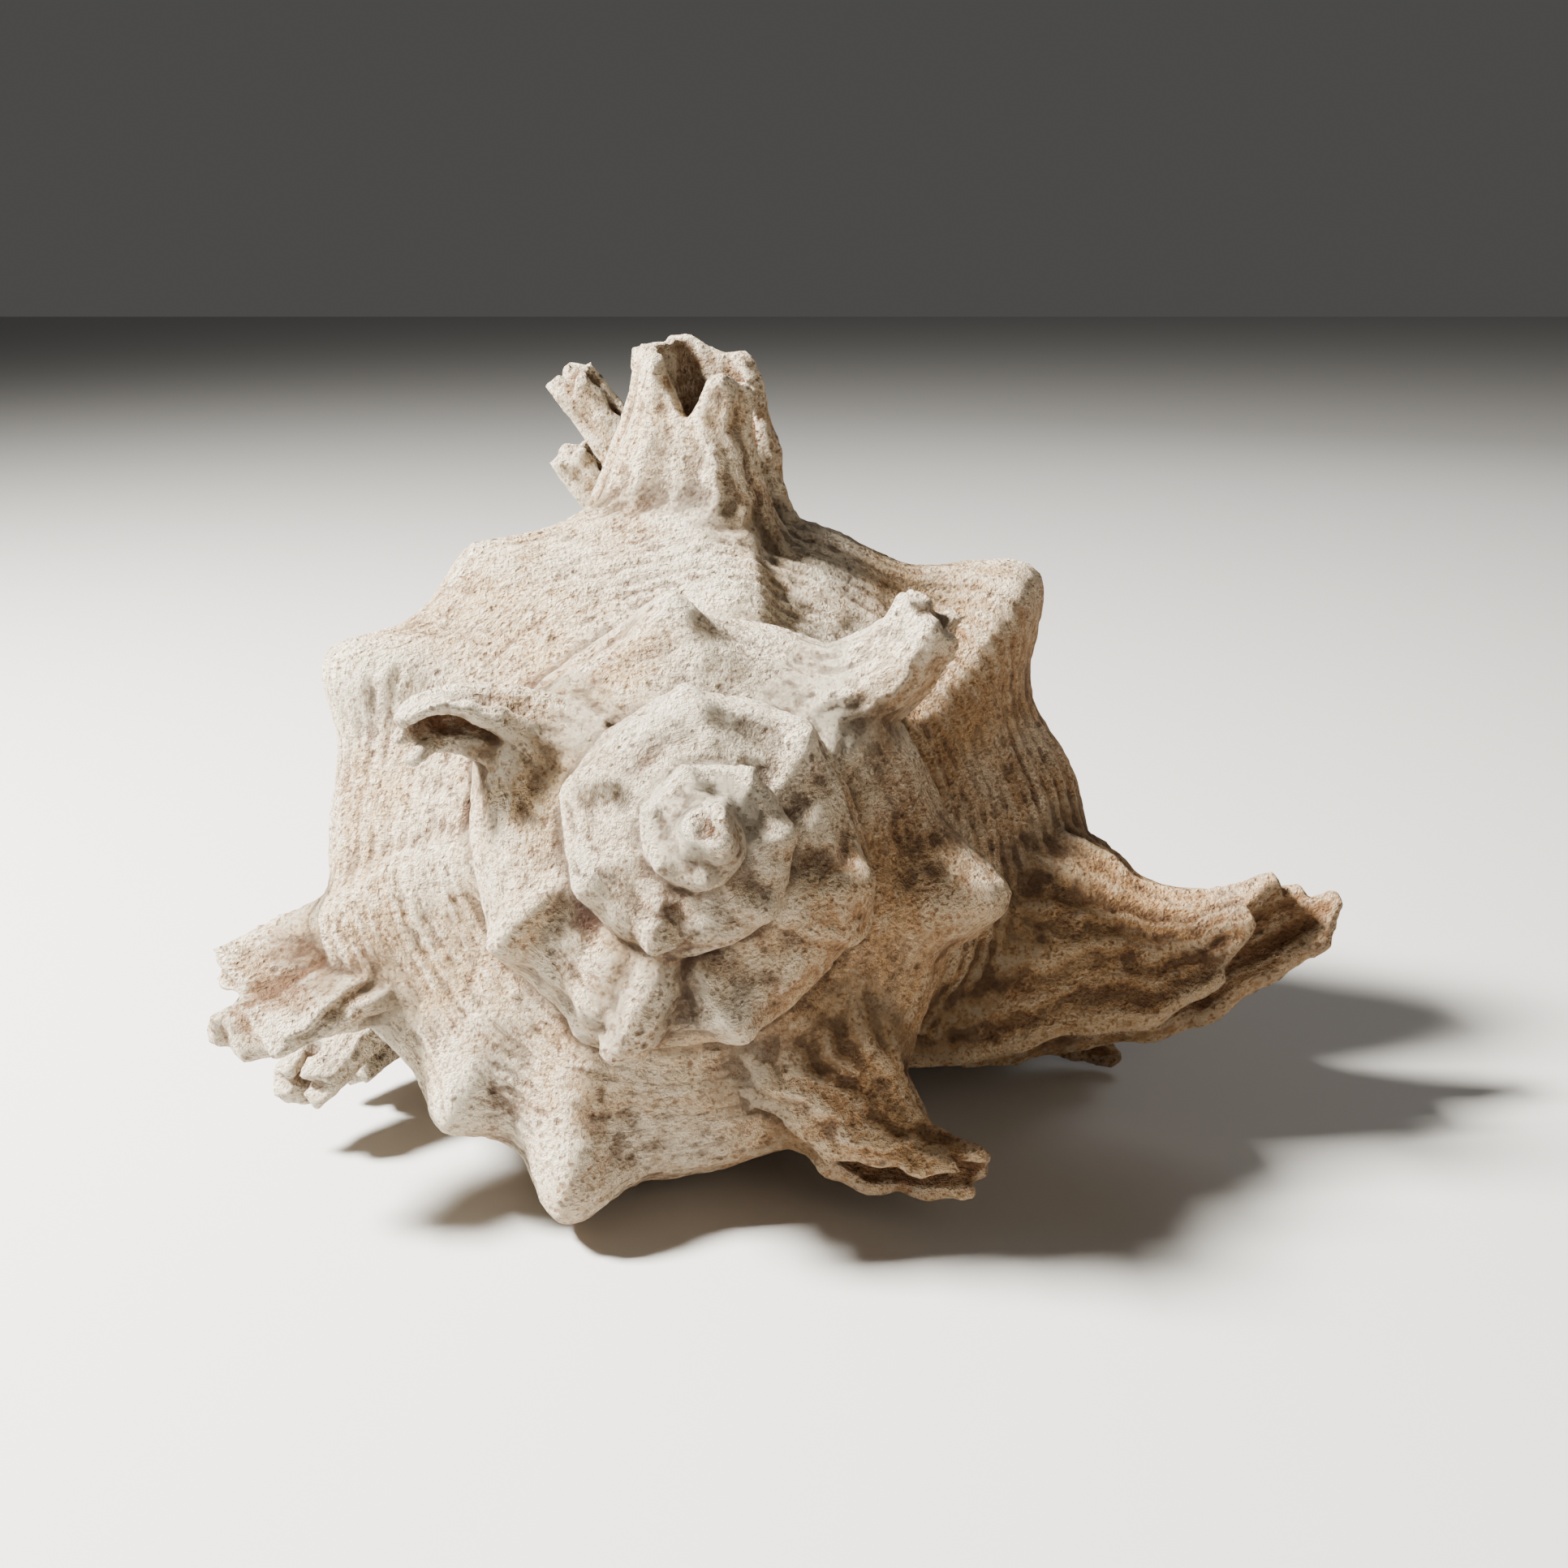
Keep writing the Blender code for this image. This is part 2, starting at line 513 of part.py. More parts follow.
def build():
    for obj in list(bpy.data.objects):
        bpy.data.objects.remove(obj)
    parts = new_collection("murex_shell")
    helpers = new_collection("cutters")
    points, faces = all_surfaces(900, 110, 40, 22)
    shell = mesh_object("shell", points, faces, parts)
    outward(shell)
    shell.data = fused(shell, 0.0011, 2)
    facets = shell.modifiers.new("facets", "DECIMATE")
    facets.ratio = 0.05
    inside = hollow(36, 30)
    cutter = mesh_object("hollow_cutter", inside.reshape(-1, 3), grid_faces(36, 30), helpers)
    outward(cutter)
    cutter.hide_render = True
    cutter.display_type = "WIRE"
    carve = shell.modifiers.new("carve", "BOOLEAN")
    carve.operation = "DIFFERENCE"
    carve.solver = "EXACT"
    carve.object = cutter
    shell.data.materials.append(shell_material())
    shell.data.polygons.foreach_set("use_smooth", [True] * len(shell.data.polygons))


build()
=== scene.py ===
"""The murex shell dressed for a photograph: a finer cast of the frame's solid, chalky, pitted and stained.

The shape is made the way part.py makes it, in the same frame and from the same values, then given
the spiral cords, growth lines and grain that are too small for the solid. Its material adds the
fine bumps, pits, dirt and stains, and painted shade in the hollows, in the frond channels and on the
sides turned away from the light.
"""
import math

import bmesh
import bpy
import numpy as np
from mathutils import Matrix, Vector, kdtree


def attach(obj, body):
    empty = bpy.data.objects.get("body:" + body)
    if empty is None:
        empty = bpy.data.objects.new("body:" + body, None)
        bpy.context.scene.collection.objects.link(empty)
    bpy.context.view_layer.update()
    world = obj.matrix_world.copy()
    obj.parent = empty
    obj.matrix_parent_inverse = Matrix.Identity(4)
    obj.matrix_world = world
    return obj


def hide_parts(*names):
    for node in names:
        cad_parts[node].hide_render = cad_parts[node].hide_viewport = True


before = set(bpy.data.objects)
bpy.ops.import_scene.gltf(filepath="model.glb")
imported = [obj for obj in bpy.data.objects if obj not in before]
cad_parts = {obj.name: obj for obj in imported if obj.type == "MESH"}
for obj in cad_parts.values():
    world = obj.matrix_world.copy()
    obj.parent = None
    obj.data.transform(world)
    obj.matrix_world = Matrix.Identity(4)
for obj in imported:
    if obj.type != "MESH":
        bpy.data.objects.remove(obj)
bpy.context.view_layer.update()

# Size and pose
LIP_ANGLE = -28.0
SPIRE_TURNS = 4.7
PITCH = math.radians(24.0)
YAW = math.radians(9.0)
APEX_HEIGHT = 61.0
CENTRE_SHIFT = (-0.01295, -0.0841, 0.00105)

# Shoulder radius of the coil, by turns before the lip
SHOULDER_RADII = (
    (0.0, 65.0), (0.14, 61.0), (0.28, 54.5), (0.42, 51.2), (0.56, 47.8), (0.74, 44.2), (0.9, 40.6),
    (1.05, 37.0), (1.2, 33.5), (1.34, 31.5), (1.5, 28.5), (1.75, 25.5), (2.0, 22.3), (2.25, 19.8),
    (2.5, 17.3), (2.75, 14.2), (3.08, 10.8), (3.4, 8.6), (3.8, 6.2), (4.3, 3.6), (4.7, 2.0),
)
# Depth of the shoulder over its radius: the spire is flatter near the apex
SHOULDER_DEPTHS = (
    (0.0, 0.92), (0.5, 0.88), (1.0, 0.80), (1.5, 0.76), (2.0, 0.68), (3.0, 0.64), (4.7, 0.6),
)

# How steeply the ramp between suture and shoulder falls, by turns
RAMP_SLOPES = ((0.0, 1.0), (0.5, 0.92), (1.0, 0.68), (1.5, 0.5), (2.0, 0.36), (4.7, 0.3))

# Outline of one whorl across the coil, in shoulder radii from the shoulder depth
OUTLINE = (
    (0.30, -0.37), (0.44, -0.325), (0.585, -0.26), (0.71, -0.195), (0.83, -0.13), (0.93, -0.07), (1.0, 0.0),
    (1.03, 0.095), (1.03, 0.205), (1.0, 0.365), (0.92, 0.545), (0.80, 0.705), (0.65, 0.855), (0.49, 0.985),
    (0.34, 1.085), (0.20, 1.165), (0.06, 1.16), (0.02, 0.885), (0.02, 0.485), (0.02, 0.085), (0.06, -0.255),
    (0.16, -0.365),
)
SHOULDER = 6
# Outline of the hollow inside the last whorl, in the same terms
HOLLOW = (
    (0.67, -0.16), (0.76, -0.115), (0.86, -0.055), (0.93, 0.015), (0.962, 0.11), (0.96, 0.21), (0.93, 0.35),
    (0.85, 0.515), (0.73, 0.66), (0.58, 0.78), (0.44, 0.88), (0.33, 0.97), (0.27, 0.96), (0.265, 0.82),
    (0.27, 0.62), (0.30, 0.43), (0.37, 0.26), (0.47, 0.12), (0.56, 0.0), (0.61, -0.10),
)
HOLLOW_TURNS = 0.55

# Turns before the lip at which each old lip stands as a rib
RIBS = (0.053, 0.317, 0.61, 0.925, 1.195, 1.481, 1.742, 2.0)
# Knobs between the ribs: turns, rise, half width in degrees, place across the outline, spread there
KNOBS = (
    (0.107, 2.0, 7, 6.2, 2.0), (0.178, 13.5, 8.5, 6.3, 2.2), (0.412, 3.2, 6.5, 6, 1.6),
    (0.486, 8.0, 8, 6, 1.9), (0.703, 4.2, 6, 6, 1.6), (0.768, 8.9, 7.6, 6, 1.9),
    (1.046, 8.5, 9, 6, 1.8), (1.334, 5.2, 8, 6, 1.7),
    (1.644, 4.0, 7, 6, 1.6), (1.856, 3.0, 7, 6, 1.6), (2.035, 2.2, 8, 6, 1.6), (2.2, 2.4, 8, 6, 1.6),
    (2.335, 2.1, 8, 6, 1.6), (2.502, 2.1, 8, 6, 1.6), (2.63, 1.8, 8, 6, 1.6), (2.751, 2.0, 8, 6, 1.6),
    (2.933, 1.5, 9, 6, 1.6), (3.082, 1.5, 9, 6, 1.6), (3.225, 1.4, 9, 6, 1.6), (3.37, 1.3, 9, 6, 1.6),
    (3.5, 1.1, 10, 6, 1.6), (3.66, 0.9, 10, 6, 1.6), (3.82, 0.8, 10, 6, 1.6), (4.0, 0.6, 10, 6, 1.6),
)

# Fronds. Rows: radius, angle, depth, half width, half height toward the opening, and how far round
# from its back the channel is closed, in degrees. Face: angle of the opening and its tilt to the apex.
# Fingers: place round the open edge from -1, trailing, to 1, leading, and length there. Folds: count,
# depth and shift of the lengthwise flutes. Notch: place, width and depth of a gap in the open edge.
# Root and deep: where along the frond its channel starts, and how much of the inside it takes.
FRONDS = {
    "top": dict(
        rows=(
            (33, 80, 60, 18, 27, 180), (46, 83, 56, 15.5, 21, 180), (57, 84, 50, 10.6, 14.2, 172),
            (67, 83.5, 44, 8.2, 11.4, 152), (76.5, 85, 39, 7.2, 9.0, 136),
        ),
        face=(-8, 22), folds=(5.0, 0.08, 0.4), notch=(0.58, 0.12, 0.15),
        fingers=(
            (-1.0, 0.82), (-0.75, 0.93), (-0.45, 1.0), (-0.15, 0.99), (0.1, 0.99), (0.3, 0.98),
            (0.75, 0.9), (1.0, 0.86),
        ),
        wall=3.2,
    ),
    "top_second": dict(
        rows=(
            (38, 82, 73, 12, 9, 180), (54, 86, 72, 8, 6.8, 180), (66, 90.5, 70.5, 5.6, 4.8, 180),
            (75, 95, 68.5, 4.6, 4.0, 172), (83, 98.5, 66, 4.6, 4.0, 160),
        ),
        face=(10, 50), fingers=((-0.9, 0.95), (-0.35, 1.0), (0.3, 0.99), (0.9, 0.94)), wall=2.6, root=0.5,
        deep=0.6,
    ),
    "top_third": dict(
        rows=(
            (32, 82, 87, 11, 8, 180), (48, 87, 86, 7, 5.8, 180), (61, 92, 84, 5, 4.4, 180),
            (69, 97, 82, 4.4, 3.9, 170), (74.5, 99.5, 80, 4.3, 3.8, 160),
        ),
        face=(10, 40), fingers=((-0.9, 0.95), (-0.3, 1.0), (0.4, 0.98), (0.9, 0.94)), wall=2.5, root=0.5,
        deep=0.6,
    ),
    "top_fourth": dict(
        rows=(
            (24, 86, 99, 9, 8, 180), (42, 91, 99, 5.5, 5, 180), (52, 95, 98, 4.2, 3.8, 160),
            (59, 99, 96, 3.2, 2.8, 130),
        ),
        face=(10, 30), fingers=((-0.6, 1.0), (0.6, 0.95)), wall=2.3,
    ),
    "left": dict(
        rows=(
            (26, 190, 48, 14, 9, 180), (39, 193, 46, 12, 7.4, 172), (50, 194, 42, 10.2, 6.0, 138),
            (58.5, 195, 38, 9.6, 5.0, 112), (66.5, 196, 33.5, 9.4, 4.4, 100),
        ),
        face=(103, 55), folds=(6.0, 0.09, 0.9), deep=0.3,
        fingers=((-1.0, 0.85), (-0.7, 0.9), (-0.3, 0.97), (0.0, 1.0), (0.45, 0.86), (0.9, 0.84)),
        notch=(0.32, 0.09, 0.12), wall=3.6, root=0.3,
    ),
    "left_second": dict(
        rows=(
            (26, 190, 74, 11, 9, 180), (42, 197, 70, 7.5, 6.5, 180), (53, 203, 65.5, 5.8, 5.2, 180),
            (60, 206.5, 62, 5, 4.6, 168), (64.5, 208, 58.5, 4.6, 4.2, 155),
        ),
        face=(115, 45), folds=(3.0, 0.12, 0.3),
        fingers=((-0.9, 0.95), (-0.4, 1.0), (0.3, 0.97), (0.9, 0.93)), wall=2.6, root=0.45, deep=0.6,
    ),
    "left_third": dict(
        rows=(
            (16, 194, 86, 10, 9, 180), (34, 203, 83, 7, 6, 180), (48, 206, 79, 5.2, 4.7, 180),
            (54.5, 207.5, 76, 4.4, 4.0, 170), (58.5, 208.5, 73, 4.2, 3.8, 160),
        ),
        face=(115, 40), fingers=((-0.9, 0.95), (-0.3, 1.0), (0.4, 0.98), (0.9, 0.94)), wall=2.5, root=0.5,
        deep=0.6,
    ),
    "left_fourth": dict(
        rows=(
            (12, 200, 93, 9, 8, 180), (28, 205, 93, 6, 5.5, 180), (40, 210, 92, 4.6, 4.2, 175),
            (47, 213, 90, 4, 3.6, 162),
        ),
        face=(115, 30), fingers=((-0.9, 0.94), (-0.3, 1.0), (0.4, 0.97), (0.9, 0.93)), wall=2.4, root=0.5,
        deep=0.6,
    ),
    "lip": dict(
        rows=(
            (40, -14, 56, 10, 25, 180), (58, -16, 54, 10, 20.5, 150), (72, -16.5, 50.5, 9.5, 15, 132),
            (85, -13.0, 45.5, 8.5, 11, 122), (98, -7.0, 40, 6.8, 7.4, 112),
        ),
        face=(-104, 10), folds=(6.0, 0.06, 0.2),
        fingers=(
            (-0.95, 0.96), (-0.72, 1.03), (-0.42, 0.97), (-0.05, 0.93), (0.25, 0.93), (0.6, 0.84),
            (0.95, 0.72),
        ),
        wall=3.2,
    ),
    "lip_second": dict(
        rows=(
            (44, -19, 70, 9, 10, 180), (58, -23, 70, 7.5, 7.5, 178), (68, -24.5, 70, 5.5, 5.5, 150),
            (75, -25.5, 69, 4.4, 4.4, 125), (79.5, -25.5, 67, 3.4, 3.2, 115),
        ),
        face=(-115, 10), fingers=((-0.7, 1.0), (0.4, 0.93)), wall=2.5,
    ),
    "lip_third": dict(
        rows=(
            (38, -18, 86, 9, 9, 180), (52, -18, 86, 6.5, 6.5, 175), (61, -19, 86, 5, 5, 150),
            (67, -19.5, 84.5, 4, 4, 125), (71, -19, 83, 3, 3, 115),
        ),
        face=(-115, 10), fingers=((-0.6, 1.0), (0.5, 0.93)), wall=2.4,
    ),
    "lip_fourth": dict(
        rows=(
            (26, -8, 101, 9, 8, 180), (40, -9, 101, 6, 6, 178), (48, -10, 101, 4.6, 4.6, 150),
            (54, -10, 100, 3.4, 3.4, 120),
        ),
        face=(-110, 5), fingers=((-0.6, 1.0), (0.5, 0.93)), wall=2.4,
    ),
    "low_right": dict(
        rows=(
            (22, -57, 38, 12, 16, 180), (34, -61, 33, 9, 13, 165), (43, -61.5, 31, 7, 10, 140),
            (51.5, -58.5, 28, 5.2, 7.4, 120), (58.5, -51, 23, 2.8, 3.6, 108),
        ),
        face=(-152, 8), folds=(5.0, 0.09, 0.3), ragged=0.1,
        fingers=((-0.9, 0.96), (-0.5, 0.99), (0.0, 1.0), (0.4, 0.99), (0.9, 0.93)), wall=2.5,
    ),
    "high_right": dict(
        rows=(
            (22, 47, 30, 9.5, 9, 180), (30, 42, 28, 7.6, 7.2, 180), (36, 38.5, 25, 6.2, 6.4, 172),
            (41.5, 38.5, 20.5, 5.2, 5.6, 152), (46, 41.5, 16.5, 4.8, 5.2, 138),
        ),
        face=(-42, -12), folds=(3.0, 0.13, 1.2), ragged=0.06,
        fingers=((-0.85, 0.93), (-0.3, 0.99), (0.1, 1.0), (0.5, 0.96), (0.9, 0.9)), wall=3.0, root=0.3,
        deep=0.75,
    ),
    "high_left": dict(
        rows=(
            (19, 139, 25, 9, 6.4, 180), (26, 143, 23.5, 7.2, 5.4, 170), (32.5, 147, 20.5, 5.4, 4.6, 140),
            (37, 152, 17.8, 4.2, 3.6, 122), (39.5, 159, 15.8, 3.0, 2.8, 112),
        ),
        face=(245, 40), folds=(4.0, 0.12, 0.5), ragged=0.06,
        fingers=((-0.8, 1.0), (0.0, 0.97), (0.6, 0.93), (1.0, 0.88)), wall=2.3,
    ),
    "worn_stub": dict(
        rows=(
            (12, 248, 15, 3.4, 3.2, 180), (18.5, 248.5, 16, 3.2, 3.8, 180),
            (24.5, 247, 18, 3.2, 4.0, 178), (29, 244.5, 21, 3.0, 3.2, 175),
        ),
        face=(331, 25), folds=(3.0, 0.1, 0.9), ragged=0.08, deep=0.0,
        fingers=((-0.6, 1.0), (0.0, 0.96), (0.5, 0.95)), wall=2.2,
    ),
}
# The broken tip of the first whorl, laid out as a short frond
NUB = dict(
    rows=(
        (0.5, 60, 7, 5.0, 5.0, 180), (0.6, 60, 2.5, 4.0, 3.8, 180), (0.8, 75, 0.2, 3.2, 2.8, 175),
        (1.2, 90, -1.4, 2.6, 2.2, 150),
    ),
    face=(215, 30), folds=(3.0, 0.14, 0.5), ragged=0.1, fingers=((-0.7, 0.88), (0.1, 1.0), (0.8, 0.8)),
    wall=1.5, deep=0.6,
)
# The canal, open along its underside, and the fronds on its side, laid out in the same way
CANAL = dict(
    rows=(
        (17, -10, 98, 18, 14, 165), (13, -4, 117, 14, 12, 155), (10, 28, 136, 10.5, 9.2, 150),
        (14, 66, 156, 8.2, 7.2, 150), (23, 82, 178, 6, 5.5, 145),
    ),
    face=(-118, 0), fingers=((-0.5, 1.0), (0.5, 0.97)), wall=3.6, root=0.0,
)
CANAL_FRONDS = {
    "canal_first": dict(
        rows=(
            (10, 20, 116, 8, 7, 180), (26, 8, 118, 5, 4.6, 178), (36, 4, 118, 3.8, 3.4, 140),
            (43, 2, 116, 3, 2.6, 120),
        ),
        face=(-90, 10), fingers=((-0.6, 1.0), (0.5, 0.94)), wall=2.3,
    ),
    "canal_second": dict(
        rows=(
            (8, 20, 134, 6, 5.5, 180), (22, 20, 136, 4.2, 4, 178), (31, 18, 137, 3.2, 3, 140),
            (36, 17, 136, 2.6, 2.4, 125),
        ),
        face=(-80, 10), fingers=((-0.6, 1.0), (0.5, 0.94)), wall=2.2,
    ),
}


def radius_at(turns):
    known = np.array(SHOULDER_RADII)
    fine = np.linspace(-0.3, SPIRE_TURNS + 0.3, 700)
    rough = np.interp(fine, known[:, 0], np.log(known[:, 1]))
    window = np.hanning(21)
    padded = np.pad(rough, 10, mode="edge")
    smooth = np.convolve(padded, window / window.sum(), mode="valid")
    return np.exp(np.interp(turns, fine, smooth))


def depth_at(turns):
    known = np.array(SHOULDER_DEPTHS)
    return radius_at(turns) * np.interp(turns, known[:, 0], known[:, 1])


def angle_at(turns, place):
    """Degrees round the axis: a lip leans forward toward the suture and drags behind below its shoulder."""
    lean = 22.0 * np.clip((SHOULDER - place) / SHOULDER, 0, 1) ** 1.2
    drag = 10.0 * np.sin(np.pi * np.clip((place - 7.0) / 12.0, 0, 1))
    return LIP_ANGLE + 360.0 * turns - lean + drag


def polar(radius, degrees, depth):
    turn = np.radians(degrees)
    return np.stack([radius * np.cos(turn), radius * np.sin(turn), depth + 0 * radius], -1)


def between(a, b, c, d, f):
    """The smooth curve from b to c, at f from 0 to 1, with a before them and d after."""
    return 0.5 * (2 * b + (c - a) * f + (2 * a - 5 * b + 4 * c - d) * f**2 + (3 * b - a - 3 * c + d) * f**3)


def through(points, t):
    """Points on a smooth open curve through the given rows, at t from 0 to 1."""
    points = np.asarray(points, float)
    last = len(points) - 1
    padded = np.concatenate([2 * points[:1] - points[1:2], points, 2 * points[-1:] - points[-2:-1]])
    at = np.asarray(t, float) * last
    i = np.clip(np.floor(at).astype(int), 0, last - 1)
    return between(*(padded[i + k] for k in range(4)), (at - i)[..., None])


def closed_outline(points, count):
    """Evenly spaced points of the smooth closed curve, and the place of each among the given ones."""
    points = np.asarray(points, float)
    n = len(points)
    at = np.linspace(0, n, n * 24, endpoint=False)
    i = np.floor(at).astype(int)
    curve = between(*(points[(i + k) % n] for k in (-1, 0, 1, 2)), (at - i)[:, None])
    ring = np.concatenate([curve, curve[:1]])
    along = np.concatenate([[0], np.cumsum(np.linalg.norm(np.diff(ring, axis=0), axis=1))])
    want = np.linspace(0, along[-1], count, endpoint=False)
    spaced = np.stack([np.interp(want, along, ring[:, k]) for k in range(2)], 1)
    return spaced, np.interp(want, along, np.append(at, n))


def bump(x, width):
    return np.exp(-((x / width) ** 2))


def relief(turns, place):
    """Rise of the whorl's wall in millimetres: knobs, and ribs that climb slowly and stop short."""
    rise = 0 * turns * place
    for at, height, width, centre, spread in KNOBS:
        away = (at - turns) * 360.0
        reach = np.where(place < centre, (2.0 if at > 1.55 else 1.0) * spread, spread)
        rise = rise + height * bump(away, width) * bump(place - centre, reach)
    outer = np.clip(np.minimum(place - 0.5, 15.5 - place), 0, 1)
    unit = radius_at(turns) / 65.0
    early = np.clip((turns - 0.95) / 0.4, 0, 1)
    rise = rise - 0.055 * radius_at(turns) * early * bump(place - SHOULDER - 0.3, 1.1)
    waves = np.sin(43 * turns + 1.3 * place) * np.sin(27 * turns - 1.9 * place + 1)
    rise = rise + 0.5 * unit**0.5 * outer * waves * np.clip((turns - 0.7) / 0.5, 0, 1)
    for at in RIBS:
        after = (at - turns) * 360.0
        climb = np.where(after < 0, bump(after, 11.0), 1.0)
        stop = 1 / (1 + np.exp(np.clip((after - 8.5) / 1.2, -40, 40)))
        flank = np.clip((place - SHOULDER) / 2.0, 0, 1)
        rise = rise + unit * climb * stop * outer * (2.4 + 2.2 * flank + 2.6 * bump(place - SHOULDER, 2.0))
    return rise


def whorls(rings, around):
    """The coiled tube as a grid of points, one ring of the outline for each step of turns."""
    turns = np.linspace(SPIRE_TURNS, 0, rings)[:, None]
    base, place = closed_outline(OUTLINE, around)
    along = np.roll(base, -1, 0) - np.roll(base, 1, 0)
    along /= np.linalg.norm(along, axis=1)[:, None]
    out = np.stack([along[:, 1], -along[:, 0]], 1)
    rise = relief(turns, place[None, :]) + fine_relief(turns, place[None, :], outline_arc(base)[None, :])
    size = radius_at(turns)
    radius = base[:, 0] * size + out[:, 0] * rise
    slopes = np.array(RAMP_SLOPES)
    slope = np.where(place[None, :] < SHOULDER, np.interp(turns, slopes[:, 0], slopes[:, 1]), 1.0)
    depth = depth_at(turns) + base[:, 1] * slope * size + out[:, 1] * rise
    return polar(radius, angle_at(turns, place[None, :]), depth)


def hollow(rings, around):
    """The space inside the last whorl, from outside the lip back to its blind end."""
    turns = np.linspace(HOLLOW_TURNS, -0.075, rings)[:, None]
    base, _ = closed_outline(HOLLOW, around)
    middle = base.mean(0)
    shrink = np.sqrt(np.clip((HOLLOW_TURNS - turns) / 0.12, 0.0, 1.0))
    base = middle + (base - middle) * (0.25 + 0.75 * shrink[..., None])
    size = radius_at(turns)
    lean = np.clip((0.2 - base[..., 1]) / 0.5, 0, 1) ** 1.2
    angle = LIP_ANGLE + 360.0 * turns - 12.0 * lean
    return polar(base[..., 0] * size, angle, depth_at(turns) + base[..., 1] * size)


def grid_faces(rows, columns, start=0):
    """Quads of a grid that closes round its columns, with both ends filled by a face."""
    faces = []
    for i in range(rows - 1):
        for j in range(columns):
            near = start + i * columns
            far = near + columns
            k = (j + 1) % columns
            faces.append((near + j, near + k, far + k, far + j))
    faces.append(tuple(start + j for j in range(columns))[::-1])
    faces.append(tuple(start + (rows - 1) * columns + j for j in range(columns)))
    return faces


def finger_lengths(fingers, places):
    lengths = [length - 0.5 * np.maximum(abs(places - at) - 0.1, 0) for at, length in fingers]
    return np.max(lengths, axis=0)


def fold(across, t, folds):
    """Lengthwise flutes of a frond, as a share of its half width; they fade toward the root."""
    count, depth, shift = folds
    wave = np.pi * count * across + shift + 0.9 * np.sin(3 * t + shift)
    return 1 + depth * np.clip(t / 0.5, 0, 1) * np.cos(wave)


def frond(
    rows, face, fingers, wall, steps, around,
    folds=(4.0, 0.07, 0.6), notch=(0, 1, 0), ragged=0.05, root=0.22, deep=1.0,
):
    """A channelled frond: an outer skin and an inner one, joined along the open edges and at the tip."""
    rows = np.array(rows, float)
    centres = polar(rows[:, 0], rows[:, 1], rows[:, 2])
    turn, tilt = np.radians(face[0]), np.radians(face[1])
    opening = np.array([np.cos(turn) * np.cos(tilt), np.sin(turn) * np.cos(tilt), -np.sin(tilt)])
    across = np.linspace(-1, 1, around)
    length = finger_lengths(fingers, across) * (1 - notch[2] * bump(across - notch[0], notch[1]))
    t = np.linspace(0, 1, steps)[:, None] * length[None, :]
    middle = through(centres, np.clip(t, 0, 1.08))
    ahead = through(centres, np.clip(t + 0.02, 0, 1.1)) - through(centres, np.clip(t - 0.02, -0.05, 1.08))
    ahead /= np.linalg.norm(ahead, axis=-1)[..., None]
    up = opening - (ahead @ opening)[..., None] * ahead
    up /= np.linalg.norm(up, axis=-1)[..., None]
    side = np.cross(ahead, up)
    lead = np.array([np.sin(np.radians(rows[0, 1])), -np.cos(np.radians(rows[0, 1])), -1.0])
    side *= np.sign((side * lead).sum(-1).mean())
    sizes = through(rows[:, 3:], np.clip(t, 0, 1.08))
    wave = np.sin(19 * t + 4 * across[None, :]) + 0.5 * np.sin(47 * t + 1)
    edge = 1 + ragged * np.clip(t, 0, 1) * wave
    round_ = np.radians(np.clip(sizes[..., 2], 60, 178)) * across[None, :] * edge
    thick = np.minimum(wall * (1.25 - 0.45 * t), 0.8 * sizes[..., 0])
    fill = deep * np.clip((t - root) / 0.45, 0, 1) ** 1.3
    skins = []
    for scale in (None, fill):
        wide, tall = sizes[..., 0], sizes[..., 1]
        if scale is not None:
            wide, tall = (wide - thick) * scale, (tall - thick) * scale
        flutes = fold(across[None, :], t, folds) * detail_at(across[None, :], t, folds)
        wide, tall = wide * flutes, tall * flutes
        lift = 0 if scale is None else (1 - scale) * 0.8 * (sizes[..., 1] - thick)
        out_side = (wide * np.sin(round_))[..., None]
        out_up = (lift - tall * np.cos(round_))[..., None]
        skins.append(middle + side * out_side + up * out_up)
    loop = np.concatenate([skins[0], skins[1][:, ::-1]], axis=1)
    faces = grid_faces(steps, loop.shape[1])[:-2]
    for row, flip in ((0, True), (steps - 1, False)):
        first = row * loop.shape[1]
        for j in range(around - 1):
            facing = first + loop.shape[1] - 1 - j
            quad = (first + j, first + j + 1, facing - 1, facing)
            faces.append(quad[::-1] if flip else quad)
    return loop.reshape(-1, 3), faces


def place_on_table(points):
    """From the shell's own frame in millimetres to metres on the table."""
    axis = np.array([-np.sin(YAW) * np.cos(PITCH), np.cos(YAW) * np.cos(PITCH), -np.sin(PITCH)])
    right = np.array([np.cos(YAW), np.sin(YAW), 0.0])
    up = np.cross(right, axis)
    apex = np.array([0.0, 0.0, APEX_HEIGHT])
    placed = apex + points[:, :1] * right + points[:, 1:2] * up + points[:, 2:3] * axis
    return placed * 0.001 + np.array(CENTRE_SHIFT)


def mesh_object(name, points, faces, collection):
    mesh = bpy.data.meshes.new(name)
    mesh.from_pydata([tuple(p) for p in place_on_table(points)], [], faces)
    mesh.update()
    obj = bpy.data.objects.new(name, mesh)
    collection.objects.link(obj)
    return obj


def all_surfaces(rings, around, steps, frond_around):
    """The coil, every frond and the canal as one set of closed surfaces that overlap."""
    coil = whorls(rings, around)
    points = [coil.reshape(-1, 3)]
    faces = grid_faces(rings, around)
    total = rings * around
    for spec in [*FRONDS.values(), *CANAL_FRONDS.values(), CANAL, NUB]:
        more, quads = frond(steps=steps, around=frond_around, **spec)
        points.append(more)
        faces += [tuple(i + total for i in quad) for quad in quads]
        total += len(more)
    return np.concatenate(points), faces


def outward(obj):
    """Turns the faces to look outward, each closed surface on its own."""
    work = bmesh.new()
    work.from_mesh(obj.data)
    bmesh.ops.recalc_face_normals(work, faces=work.faces)
    work.to_mesh(obj.data)
    work.free()


